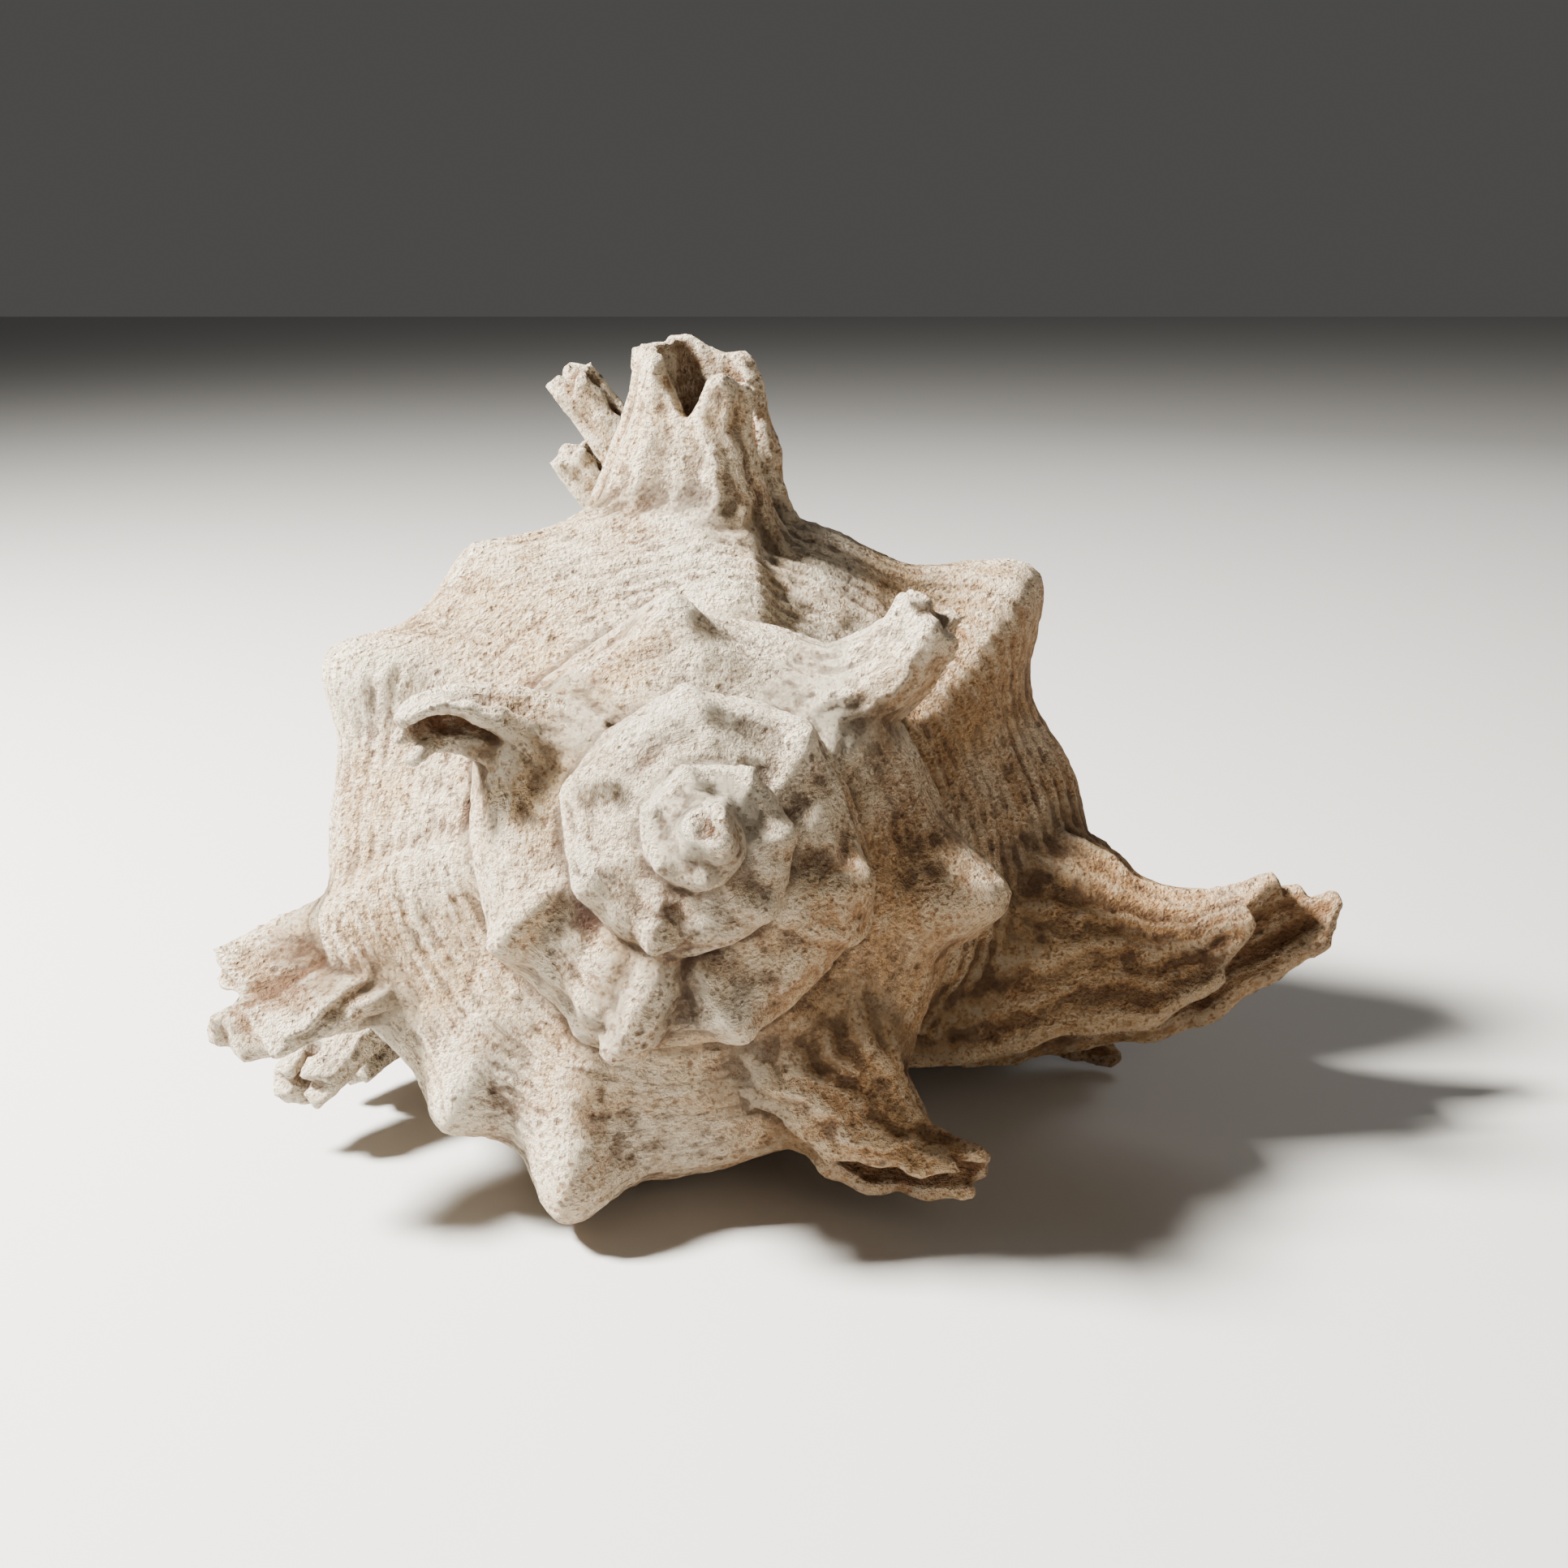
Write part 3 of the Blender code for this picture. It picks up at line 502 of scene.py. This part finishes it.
def fused(source, voxel, passes):
    """The outer surface of everything in source as one closed mesh: its largest piece, softened."""
    fuse = source.modifiers.new("fuse", "REMESH")
    fuse.mode = "VOXEL"
    fuse.voxel_size = voxel
    soften = source.modifiers.new("soften", "SMOOTH")
    soften.factor = 0.5
    soften.iterations = passes
    graph = bpy.context.evaluated_depsgraph_get()
    work = bmesh.new()
    work.from_mesh(source.evaluated_get(graph).to_mesh())
    left = set(work.verts)
    pieces = []
    while left:
        piece = {left.pop()}
        edge = list(piece)
        while edge:
            near = {e.other_vert(v) for v in edge for e in v.link_edges} - piece
            piece |= near
            edge = list(near)
        left -= piece
        pieces.append(piece)
    largest = max(pieces, key=len)
    bmesh.ops.delete(work, geom=[v for v in work.verts if v not in largest], context="VERTS")
    mesh = bpy.data.meshes.new(source.name)
    work.to_mesh(mesh)
    work.free()
    source.modifiers.clear()
    return mesh

# Fine relief, in millimetres on the last whorl
CORD_PITCH = 0.038
CORD_HEIGHT = 1.35
GROWTH_HEIGHT = 0.06
GRAIN_HEIGHT = 0.16
LUMP_HEIGHT = 0.42
LAST_RADIUS = SHOULDER_RADII[0][1]
# Cords across the whole width of a frond, and their depth as a share of its half width
FROND_CORDS = 15
FROND_CORD_DEPTH = 0.075

# Millimetres along the cords that one turn counts as, and the step that keeps each frond's streaks apart
ALONG_A_TURN = 210.0
MARKS_APART = 300.0

# Grid of the fused mesh in metres, and its triangles before the hollow is cut
FINEST = 0.00055
MOST_TRIANGLES = 160000


def lattice(cells):
    """A fixed pseudo-random number from 0 to 1 for each whole-number cell."""
    mixed = cells[..., 0] * 73856093
    for k, prime in zip(range(1, cells.shape[-1]), (19349663, 83492791)):
        mixed = mixed ^ (cells[..., k] * prime)
    mixed = (mixed ^ (mixed >> 13)) * 1274126177
    return ((mixed ^ (mixed >> 16)) & 0xFFFF) / 65535.0


def noise(points):
    """Smooth noise from -1 to 1 over points with two or three coordinates."""
    cell = np.floor(points).astype(np.int64)
    f = points - cell
    f = f * f * (3 - 2 * f)
    total = 0.0
    size = points.shape[-1]
    for corner in range(2**size):
        step = np.array([(corner >> k) & 1 for k in range(size)])
        weight = np.prod(np.where(step, f, 1 - f), axis=-1)
        total = total + weight * lattice(cell + step)
    return 2 * total - 1


def near_rib(turns):
    return sum(bump((at - turns) * 360.0, 16.0) for at in RIBS)


def fine_relief(turns, place, arc):
    """Spiral cords and growth lines of the coil, by turns, place on the outline and arc along it."""
    turns, arc = np.broadcast_arrays(turns, arc)
    unit = (radius_at(turns) / LAST_RADIUS) ** 0.8
    shown = np.clip(np.minimum(place - 0.8, 15.2 - place), 0, 1)
    wander = noise(np.stack([turns * 9, arc * 14], -1))
    sway = 2.4 * wander + 1.1 * np.sin(2 * np.pi * turns * 1.7 + arc * 5)
    major = (0.5 + 0.5 * np.cos(2 * np.pi * arc / CORD_PITCH + sway)) ** 1.3
    minor = 0.5 + 0.5 * np.cos(2 * np.pi * arc / (CORD_PITCH * 0.43) - sway)
    patch = 0.5 + 0.5 * noise(np.stack([turns * 6 + 7, arc * 9], -1))
    strength = 0.3 + 0.4 * np.clip(near_rib(turns), 0, 1) + 0.6 * patch
    cords = CORD_HEIGHT * strength * (0.75 * major + 0.25 * minor)
    drift = turns * 150 + 0.9 * noise(np.stack([turns * 20, arc * 12], -1))
    growth = noise(np.stack([drift, arc * 1.5], -1)) + 0.6 * noise(np.stack([drift * 0.37 + 9, arc], -1))
    coarse = noise(np.stack([turns * 16 + 3, arc * 7], -1))
    lumps = coarse + 0.6 * noise(np.stack([turns * 33, arc * 15], -1))
    return unit * shown * (cords + GROWTH_HEIGHT * growth + LUMP_HEIGHT * lumps)


def detail_at(across, t, folds):
    """Fine lengthwise cords on a frond, as a share of its half width."""
    places = np.stack(np.broadcast_arrays(t * 7 + folds[2], across * 3), -1)
    sway = 1.2 * np.sin(4 * t + folds[2]) + 0.8 * noise(places)
    cords = (0.5 + 0.5 * np.cos(np.pi * FROND_CORDS * across + sway)) ** 1.4
    return 1 + FROND_CORD_DEPTH * np.clip(t / 0.2, 0, 1) * (cords - 0.4)


def coil_marks(rings, around):
    """The coil's grid as the material reads it: millimetres across and along the cords, 0 for outside."""
    turns = np.linspace(SPIRE_TURNS, 0, rings)[:, None]
    base, _ = closed_outline(OUTLINE, around)
    arc = outline_arc(base)
    across = np.broadcast_to(arc[None, :] * LAST_RADIUS, (rings, around))
    along = np.broadcast_to(turns * ALONG_A_TURN, (rings, around))
    return np.stack([across, along, 0 * across], -1).reshape(-1, 3)


def frond_marks(rows, fingers, steps, around, index):
    """The same for a frond, where the third value rises to 1 on the inner skin of its channel."""
    rows = np.array(rows, float)
    across = np.linspace(-1, 1, around)
    t = np.linspace(0, 1, steps)[:, None] * finger_lengths(fingers, across)[None, :]
    widths = through(rows[:, 3:4], np.clip(t, 0, 1))[..., 0]
    run = np.linalg.norm(np.diff(polar(rows[:, 0], rows[:, 1], rows[:, 2]), axis=0), axis=1).sum()
    side = across[None, :] * (0.55 * widths.max() + 0.45 * widths) * 1.9
    side = side + MARKS_APART * (index + 1)
    outer = np.stack([side, t * run, 0 * t], -1)
    inner = np.stack([side, t * run, np.clip((t - 0.2) / 0.2, 0, 1)], -1)
    return np.concatenate([outer, inner[:, ::-1]], axis=1).reshape(-1, 3)


def outline_arc(base):
    steps = np.linalg.norm(np.diff(base, axis=0), axis=1)
    return np.concatenate([[0.0], np.cumsum(steps)])


def cast(collection):
    """Every surface with its fine relief, fused into one closed mesh."""
    rings, around, steps, across = ((2600, 420, 110, 90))
    points, faces = all_surfaces(rings, around, steps, across)
    shell = mesh_object("murex_shell", points, faces, collection)
    outward(shell)
    shell.data = fused(shell, FINEST * (1.0), 1)
    return shell


def marks_tree():
    """A search tree of the source surfaces, with the coordinates of each of its points."""
    points = [whorls(1500, 150).reshape(-1, 3)]
    marks = [coil_marks(1500, 150)]
    for index, spec in enumerate([*FRONDS.values(), *CANAL_FRONDS.values(), CANAL, NUB]):
        found, _ = frond(steps=60, around=48, **spec)
        points.append(found)
        marks.append(frond_marks(spec["rows"], spec["fingers"], 60, 48, index))
    points = place_on_table(np.concatenate(points))
    tree = kdtree.KDTree(len(points))
    for i, p in enumerate(points):
        tree.insert(p, i)
    tree.balance()
    return tree, np.concatenate(marks)


def mesh_arrays(mesh):
    points = np.empty(len(mesh.vertices) * 3)
    mesh.vertices.foreach_get("co", points)
    normals = np.empty(len(mesh.vertices) * 3)
    mesh.vertex_normals.foreach_get("vector", normals)
    edges = np.empty(len(mesh.edges) * 2, np.int32)
    mesh.edges.foreach_get("vertices", edges)
    return points.reshape(-1, 3), normals.reshape(-1, 3), edges.reshape(-1, 2)


def spread(values, edges, rounds, share=0.5):
    """values averaged with their neighbours over the mesh, that many rounds."""
    count = np.bincount(edges.ravel(), minlength=len(values)).astype(float)
    count = np.maximum(count, 1)
    flat = values.ndim == 1
    values = values[:, None] if flat else values
    for _ in range(rounds):
        total = np.zeros_like(values)
        for k in range(values.shape[1]):
            total[:, k] += np.bincount(edges[:, 0], values[edges[:, 1], k], len(values))
            total[:, k] += np.bincount(edges[:, 1], values[edges[:, 0], k], len(values))
        values = (1 - share) * values + share * total / count[:, None]
    return values[:, 0] if flat else values


def roughen(shell):
    """Grain and shallow lumps pressed into the surface along its normals."""
    points, normals, _ = mesh_arrays(shell.data)
    mm = points * 1000.0
    grain = noise(mm / 1.9) + 0.7 * noise(mm / 0.95 + 31.0)
    lumps = noise(mm / 6.5 + 11.0)
    shift = (GRAIN_HEIGHT * grain + 0.16 * lumps) * 0.001
    shell.data.vertices.foreach_set("co", (points + normals * shift[:, None]).ravel())
    shell.data.update()


def store(mesh, name, values):
    layer = mesh.attributes.new(name, "FLOAT", "POINT")
    layer.data.foreach_set("value", values.astype(np.float32))


def mark(shell):
    """Stores what the material reads: cord coordinates, inner skin, how hollow or proud each point is."""
    mesh = shell.data
    points, normals, edges = mesh_arrays(mesh)
    tree, known = marks_tree()
    nearest = np.array([tree.find(p)[1] for p in points])
    marks = known[nearest]
    smooth = spread(marks, edges, 4)
    for k, name in enumerate(("across", "along", "inside")):
        store(mesh, name, smooth[:, k])
    near = spread(points, edges, 3)
    wide = spread(near, edges, 26)
    fine = ((near - points) * normals).sum(1) * 1000.0
    broad = ((wide - points) * normals).sum(1) * 1000.0
    store(mesh, "hollow_fine", spread(fine, edges, 1))
    store(mesh, "hollow_wide", spread(broad, edges, 2))


def finished(shell, collection):
    """Thinned to the piece's share of triangles, and hollowed as the frame's solid is."""
    thin = shell.modifiers.new("thin", "DECIMATE")
    faces = sum(len(p.vertices) - 2 for p in shell.data.polygons)
    thin.ratio = min(1.0, MOST_TRIANGLES * 1.0 / faces)
    inside = hollow(150, 110)
    cutter = mesh_object("inside", inside.reshape(-1, 3), grid_faces(150, 110), collection)
    outward(cutter)
    carve = shell.modifiers.new("carve", "BOOLEAN")
    carve.operation = "DIFFERENCE"
    carve.solver = "EXACT"
    carve.object = cutter
    graph = bpy.context.evaluated_depsgraph_get()
    mesh = bpy.data.meshes.new_from_object(shell.evaluated_get(graph))
    shell.modifiers.clear()
    shell.data = mesh
    mesh.name = "murex_shell"
    bpy.data.objects.remove(cutter)
    mesh.polygons.foreach_set("use_smooth", [True] * len(mesh.polygons))


class Nodes:
    """Short ways to build a material's node tree."""

    def __init__(self, material):
        self.tree = material.node_tree
        self.tree.nodes.clear()

    def add(self, kind, **settings):
        node = self.tree.nodes.new(kind)
        for name, value in settings.items():
            setattr(node, name, value)
        return node

    def link(self, source, target):
        if hasattr(source, "is_output"):
            self.tree.links.new(source, target)
        else:
            target.default_value = source

    def math(self, operation, a, b=0.0, c=0.0, clamp=False):
        node = self.add("ShaderNodeMath", operation=operation, use_clamp=clamp)
        for socket, value in zip(node.inputs, (a, b, c)):
            self.link(value, socket)
        return node.outputs[0]

    def ramp(self, value, low, high, start=0.0, end=1.0, smooth=True):
        node = self.add("ShaderNodeMapRange", interpolation_type="SMOOTHSTEP" if smooth else "LINEAR")
        names = ("Value", "From Min", "From Max", "To Min", "To Max")
        for name, v in zip(names, (value, low, high, start, end)):
            self.link(v, node.inputs[name])
        return node.outputs[0]

    def mix(self, share, a, b, blend="MIX"):
        node = self.add("ShaderNodeMix", data_type="RGBA", blend_type=blend)
        self.link(share, node.inputs[0])
        for value, socket in ((a, node.inputs[6]), (b, node.inputs[7])):
            self.link(value if hasattr(value, "is_output") else (*value, 1.0), socket)
        return node.outputs[2]

    def value_of(self, name):
        return self.add("ShaderNodeAttribute", attribute_name=name).outputs["Fac"]

    def vector(self, x, y, z):
        node = self.add("ShaderNodeCombineXYZ")
        for socket, value in zip(node.inputs, (x, y, z)):
            self.link(value, socket)
        return node.outputs[0]

    def noise(self, vector, scale, detail=3.0, rough=0.55, warp=0.0):
        node = self.add("ShaderNodeTexNoise")
        self.link(vector, node.inputs["Vector"])
        node.inputs["Scale"].default_value = scale
        node.inputs["Detail"].default_value = detail
        node.inputs["Roughness"].default_value = rough
        node.inputs["Distortion"].default_value = warp
        return node.outputs[0]

    def cells(self, vector, scale, feature="F1"):
        node = self.add("ShaderNodeTexVoronoi", feature=feature)
        self.link(vector, node.inputs["Vector"])
        node.inputs["Scale"].default_value = scale
        return node

    def near(self, position, centre, size):
        """1 at a point of the part frame, falling to 0 at that distance in metres."""
        node = self.add("ShaderNodeVectorMath", operation="DISTANCE")
        self.link(position, node.inputs[0])
        node.inputs[1].default_value = centre
        return self.ramp(node.outputs["Value"], size, 0.15 * size)

CHALK = (0.78, 0.585, 0.355)
COOL = (0.97, 0.865, 0.68)
TAN = (0.29, 0.135, 0.052)
SAND = (0.56, 0.315, 0.13)
BROWN = (0.075, 0.030, 0.013)
GREY = (0.26, 0.165, 0.105)
# Where the dark patches are darkest, real stains and a painted shadow under a rib's overhang: a point of
# the surface, its reach in metres and its strength
STAINS_AND_SHADOWS = (
    ((-0.0142, -0.0830, 0.0636), 0.0062, 0.85),
    ((-0.0290, -0.0794, 0.0544), 0.0060, 0.8),
    ((-0.0206, -0.0813, 0.0500), 0.0075, 0.7),
    ((-0.0155, -0.0795, 0.0450), 0.0070, 0.6),
    ((-0.0180, -0.0800, 0.0368), 0.0080, 0.7),
    ((-0.0251, -0.0708, 0.0690), 0.0090, 0.35),
    ((0.0568, -0.0447, 0.0290), 0.0090, 0.75),
    ((-0.0630, -0.0634, 0.0370), 0.0110, 0.45),
    ((0.0142, -0.0556, 0.0519), 0.0120, 0.4),
)


def stained(n, position, speck, colour):
    """Dark patches that the photograph shows at a few places, real stains and a painted shadow under a
    rib's overhang, with thin cracks of crust in the speckle.
    """
    bent = n.add("ShaderNodeVectorMath", operation="MULTIPLY_ADD")
    warp = n.add("ShaderNodeTexNoise")
    n.link(position, warp.inputs["Vector"])
    warp.inputs["Scale"].default_value = 260.0
    n.link(warp.outputs["Color"], bent.inputs[0])
    bent.inputs[1].default_value = (0.004, 0.004, 0.004)
    n.link(position, bent.inputs[2])
    seams = n.cells(bent.outputs[0], 190.0, "DISTANCE_TO_EDGE")
    crack = n.ramp(seams.outputs["Distance"], 0.07, 0.02)
    for centre, size, share in STAINS_AND_SHADOWS:
        broken = n.math("MAXIMUM", n.ramp(speck, 0.42, 0.62, 0.12, 0.75), crack)
        part = n.math("MULTIPLY", n.near(position, centre, size), broken)
        colour = n.mix(n.math("MULTIPLY", part, share), colour, BROWN)
    return colour


def chalky_material():
    material = bpy.data.materials.new("chalky_pitted_shell")
    material.use_nodes = True
    n = Nodes(material)
    coordinates = n.add("ShaderNodeTexCoord")
    position = coordinates.outputs["Object"]
    # Painted shade: faces turned right and down, away from the light, are made warmer and darker through
    # this dot product with the normal
    facing = n.add("ShaderNodeVectorMath", operation="DOT_PRODUCT")
    n.link(coordinates.outputs["Normal"], facing.inputs[0])
    facing.inputs[1].default_value = (0.7, 0.0, -0.7)
    apart = n.add("ShaderNodeSeparateXYZ")
    n.link(position, apart.inputs[0])
    x, _, z = apart.outputs
    across, along = n.value_of("across"), n.value_of("along")
    fine, wide, inside = n.value_of("hollow_fine"), n.value_of("hollow_wide"), n.value_of("inside")
    fibre = n.vector(across, n.math("MULTIPLY", along, 0.16), 0.0)
    lines = n.vector(n.math("MULTIPLY", across, 0.22), along, 0.0)

    cloud = n.noise(position, 34.0, 4.0, 0.6)
    patch = n.noise(position, 130.0, 4.0, 0.62, 0.4)
    grain = n.noise(position, 1500.0, 3.0, 0.7)
    speck = n.noise(position, 620.0, 5.0, 0.75, 0.5)
    streak = n.noise(fibre, 1.1, 4.0, 0.65, 0.5)
    growth = n.noise(lines, 0.9, 3.0, 0.6, 0.3)
    crumbs = n.cells(position, 1000.0)
    rough = n.math("ADD", crumbs.outputs["Distance"], n.math("MULTIPLY", speck, 0.6))
    crumb = n.ramp(rough, 0.72, 0.40)
    micro = n.math("MULTIPLY", n.math("ADD", grain, speck), 0.5)

    # Warmer to the right and below, cooler and whiter on the upper left: partly real staining, partly
    # painted shade, with faces turned right and down, away from the light, made darker by their normal
    lean = n.math("ADD", n.math("MULTIPLY", x, 8.0), n.math("MULTIPLY", z, -5.0))
    lean = n.math("ADD", lean, n.math("MULTIPLY", facing.outputs["Value"], 0.4))
    warm_stain_and_shade = n.ramp(n.math("ADD", lean, n.math("MULTIPLY", cloud, 1.9)), 0.1, 1.2)
    colour = n.mix(n.ramp(cloud, 0.38, 0.62), COOL, CHALK)
    colour = n.mix(n.math("MULTIPLY", warm_stain_and_shade, 0.85), colour, SAND)
    cover = n.math("ADD", n.math("MULTIPLY", patch, 0.8), n.math("MULTIPLY", warm_stain_and_shade, 0.12))
    mottle = n.ramp(n.math("ADD", speck, cover), 0.88, 1.14)
    colour = n.mix(n.math("MULTIPLY", mottle, 0.6), colour, TAN)
    crusty = n.math("MULTIPLY", crumb, n.ramp(patch, 0.36, 0.62, 0.15, 0.6))
    colour = n.mix(crusty, colour, TAN)
    dim = n.math("MULTIPLY", n.ramp(micro, 0.49, 0.40), n.ramp(cloud, 0.35, 0.65, 0.55, 0.9))
    colour = n.mix(n.math("MULTIPLY", dim, 1.15, clamp=True), colour, n.mix(warm_stain_and_shade, GREY, TAN))
    pale = n.math("MULTIPLY", n.ramp(micro, 0.515, 0.59), n.ramp(warm_stain_and_shade, 0.0, 1.0, 0.75, 0.35))
    colour = n.mix(pale, colour, n.mix(n.math("MULTIPLY", warm_stain_and_shade, 0.8), COOL, CHALK))
    colour = n.mix(n.math("MULTIPLY", n.ramp(streak, 0.5, 0.7), 0.6), colour, GREY)
    colour = n.mix(n.math("MULTIPLY", n.ramp(growth, 0.55, 0.75), 0.12), colour, TAN)

    # Painted shade with some dirt, dark brown in sutures and grooves, and painted shade in the channels of
    # the fronds
    crevice_shade_and_dirt = n.math("ADD", n.ramp(wide, 0.25, 1.5, 0.0, 1.0), n.ramp(fine, 0.01, 0.07, 0.0, 0.7))
    dappled = n.math("ADD", patch, n.math("MULTIPLY", speck, 0.5))
    crevice_shade_and_dirt = n.math("MULTIPLY", crevice_shade_and_dirt, n.ramp(dappled, 0.5, 0.9, 0.4, 1.0))
    colour = n.mix(n.math("MULTIPLY", crevice_shade_and_dirt, 0.95, clamp=True), colour, BROWN)
    # Painted shade inside the frond channels, tan then brown on their inner skin
    channel_shade = n.math("MULTIPLY", inside, n.ramp(speck, 0.35, 0.7, 0.45, 1.0))
    colour = n.mix(n.math("MULTIPLY", channel_shade, 0.75, clamp=True), colour, TAN)
    colour = n.mix(n.math("MULTIPLY", channel_shade, n.ramp(patch, 0.42, 0.66, 0.0, 0.75)), colour, BROWN)
    # Dark patches at listed places: real stains, and a painted shadow under a rib's overhang
    colour = stained(n, position, speck, colour)

    # Bleached and worn white on crests and edges
    proud = n.math("MULTIPLY", n.ramp(fine, -0.02, -0.09), n.ramp(warm_stain_and_shade, 0.0, 1.0, 0.8, 0.45))
    edge = n.ramp(wide, -0.8, -2.4)
    broken = n.ramp(n.math("ADD", micro, n.math("MULTIPLY", crumb, -0.2)), 0.36, 0.52, 0.12, 0.85)
    worn = n.math("MULTIPLY", n.math("MAXIMUM", proud, edge), broken)
    colour = n.mix(worn, colour, n.mix(n.math("MULTIPLY", warm_stain_and_shade, 0.75), COOL, CHALK))

    pits = n.cells(position, 330.0)
    chosen = n.add("ShaderNodeSeparateColor")
    n.link(pits.outputs["Color"], chosen.inputs[0])
    pick = n.math("GREATER_THAN", chosen.outputs[0], 0.72)
    pit = n.math("MULTIPLY", n.ramp(pits.outputs["Distance"], 0.26, 0.08), pick)
    colour = n.mix(n.math("MULTIPLY", pit, 0.6), colour, BROWN)

    shader = n.add("ShaderNodeBsdfPrincipled")
    n.link(colour, shader.inputs["Base Color"])
    coarse = n.math("ADD", grain, n.math("MULTIPLY", worn, -0.2))
    n.link(n.ramp(coarse, 0.2, 0.8, 0.72, 0.96), shader.inputs["Roughness"])
    shader.inputs["Specular IOR Level"].default_value = 0.28
    shader.inputs["Subsurface Weight"].default_value = 0.0

    height = n.math("MULTIPLY", micro, 1.35)
    height = n.math("ADD", height, n.math("MULTIPLY", streak, 0.34))
    height = n.math("ADD", height, n.math("MULTIPLY", growth, 0.1))
    height = n.math("ADD", height, n.math("MULTIPLY", crumb, -0.2))
    height = n.math("ADD", height, n.math("MULTIPLY", pit, -0.35))
    bumped = n.add("ShaderNodeBump")
    bumped.inputs["Strength"].default_value = 1.0
    bumped.inputs["Distance"].default_value = 0.0036
    n.link(height, bumped.inputs["Height"])
    n.link(bumped.outputs[0], shader.inputs["Normal"])
    out = n.add("ShaderNodeOutputMaterial")
    n.link(shader.outputs[0], out.inputs[0])
    return material


def floor_and_light():
    mesh = bpy.data.meshes.new("floor")
    mesh.from_pydata([(-3, -3, 0), (3, -3, 0), (3, 3, 0), (-3, 3, 0)], [], [(0, 1, 2, 3)])
    floor = bpy.data.objects.new("floor", mesh)
    floor.location.z = -0.0002
    bpy.context.scene.collection.objects.link(floor)
    material = bpy.data.materials.new("pale_floor")
    material.use_nodes = True
    shader = material.node_tree.nodes["Principled BSDF"]
    shader.inputs["Base Color"].default_value = (0.52, 0.52, 0.515, 1.0)
    shader.inputs["Roughness"].default_value = 0.9
    mesh.materials.append(material)
    world = bpy.data.worlds.new("studio")
    world.use_nodes = True
    world.node_tree.nodes["Background"].inputs[0].default_value = (0.90, 0.88, 0.85, 1.0)
    world.node_tree.nodes["Background"].inputs[1].default_value = 0.085
    bpy.context.scene.world = world
    for name, place, size, power, colour in (
        ("key", (-0.48, -0.07, 0.53), 0.12, 46.0, (1.0, 0.955, 0.87)),
        ("fill", (0.50, -0.65, 0.40), 0.60, 1.5, (1.0, 0.80, 0.58)),
        ("back", (0.35, 0.65, 0.50), 0.40, 1.4, (0.95, 0.97, 1.0)),
    ):
        light = bpy.data.lights.new(name, "AREA")
        light.size = size
        light.energy = power
        light.color = colour
        lamp = bpy.data.objects.new(name, light)
        lamp.location = place
        aim = Vector((0.0, 0.0, 0.045)) - Vector(place)
        lamp.rotation_euler = aim.to_track_quat("-Z", "Y").to_euler()
        bpy.context.scene.collection.objects.link(lamp)


def photo_camera():
    """Stands where the photograph was taken from, in front of the apex, looking 17.6 degrees down."""
    data = bpy.data.cameras.new("photo")
    data.sensor_width = 36.0
    data.lens = 36.0 * 2100.0 / 1932.0
    data.clip_start = 0.01
    camera = bpy.data.objects.new("photo", data)
    camera.location = (-0.004042, -0.2761, 0.12924)
    camera.rotation_euler = (math.pi / 2 - 0.3071, 0.0, 0.0)
    bpy.context.scene.collection.objects.link(camera)
    bpy.context.scene.camera = camera


def dress():
    photo_camera()
    floor_and_light()
    scene = bpy.context.scene.collection
    shell = cast(scene)
    roughen(shell)
    finished(shell, scene)
    mark(shell)
    shell.data.materials.append(chalky_material())
    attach(shell, "root")
    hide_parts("shell")


dress()
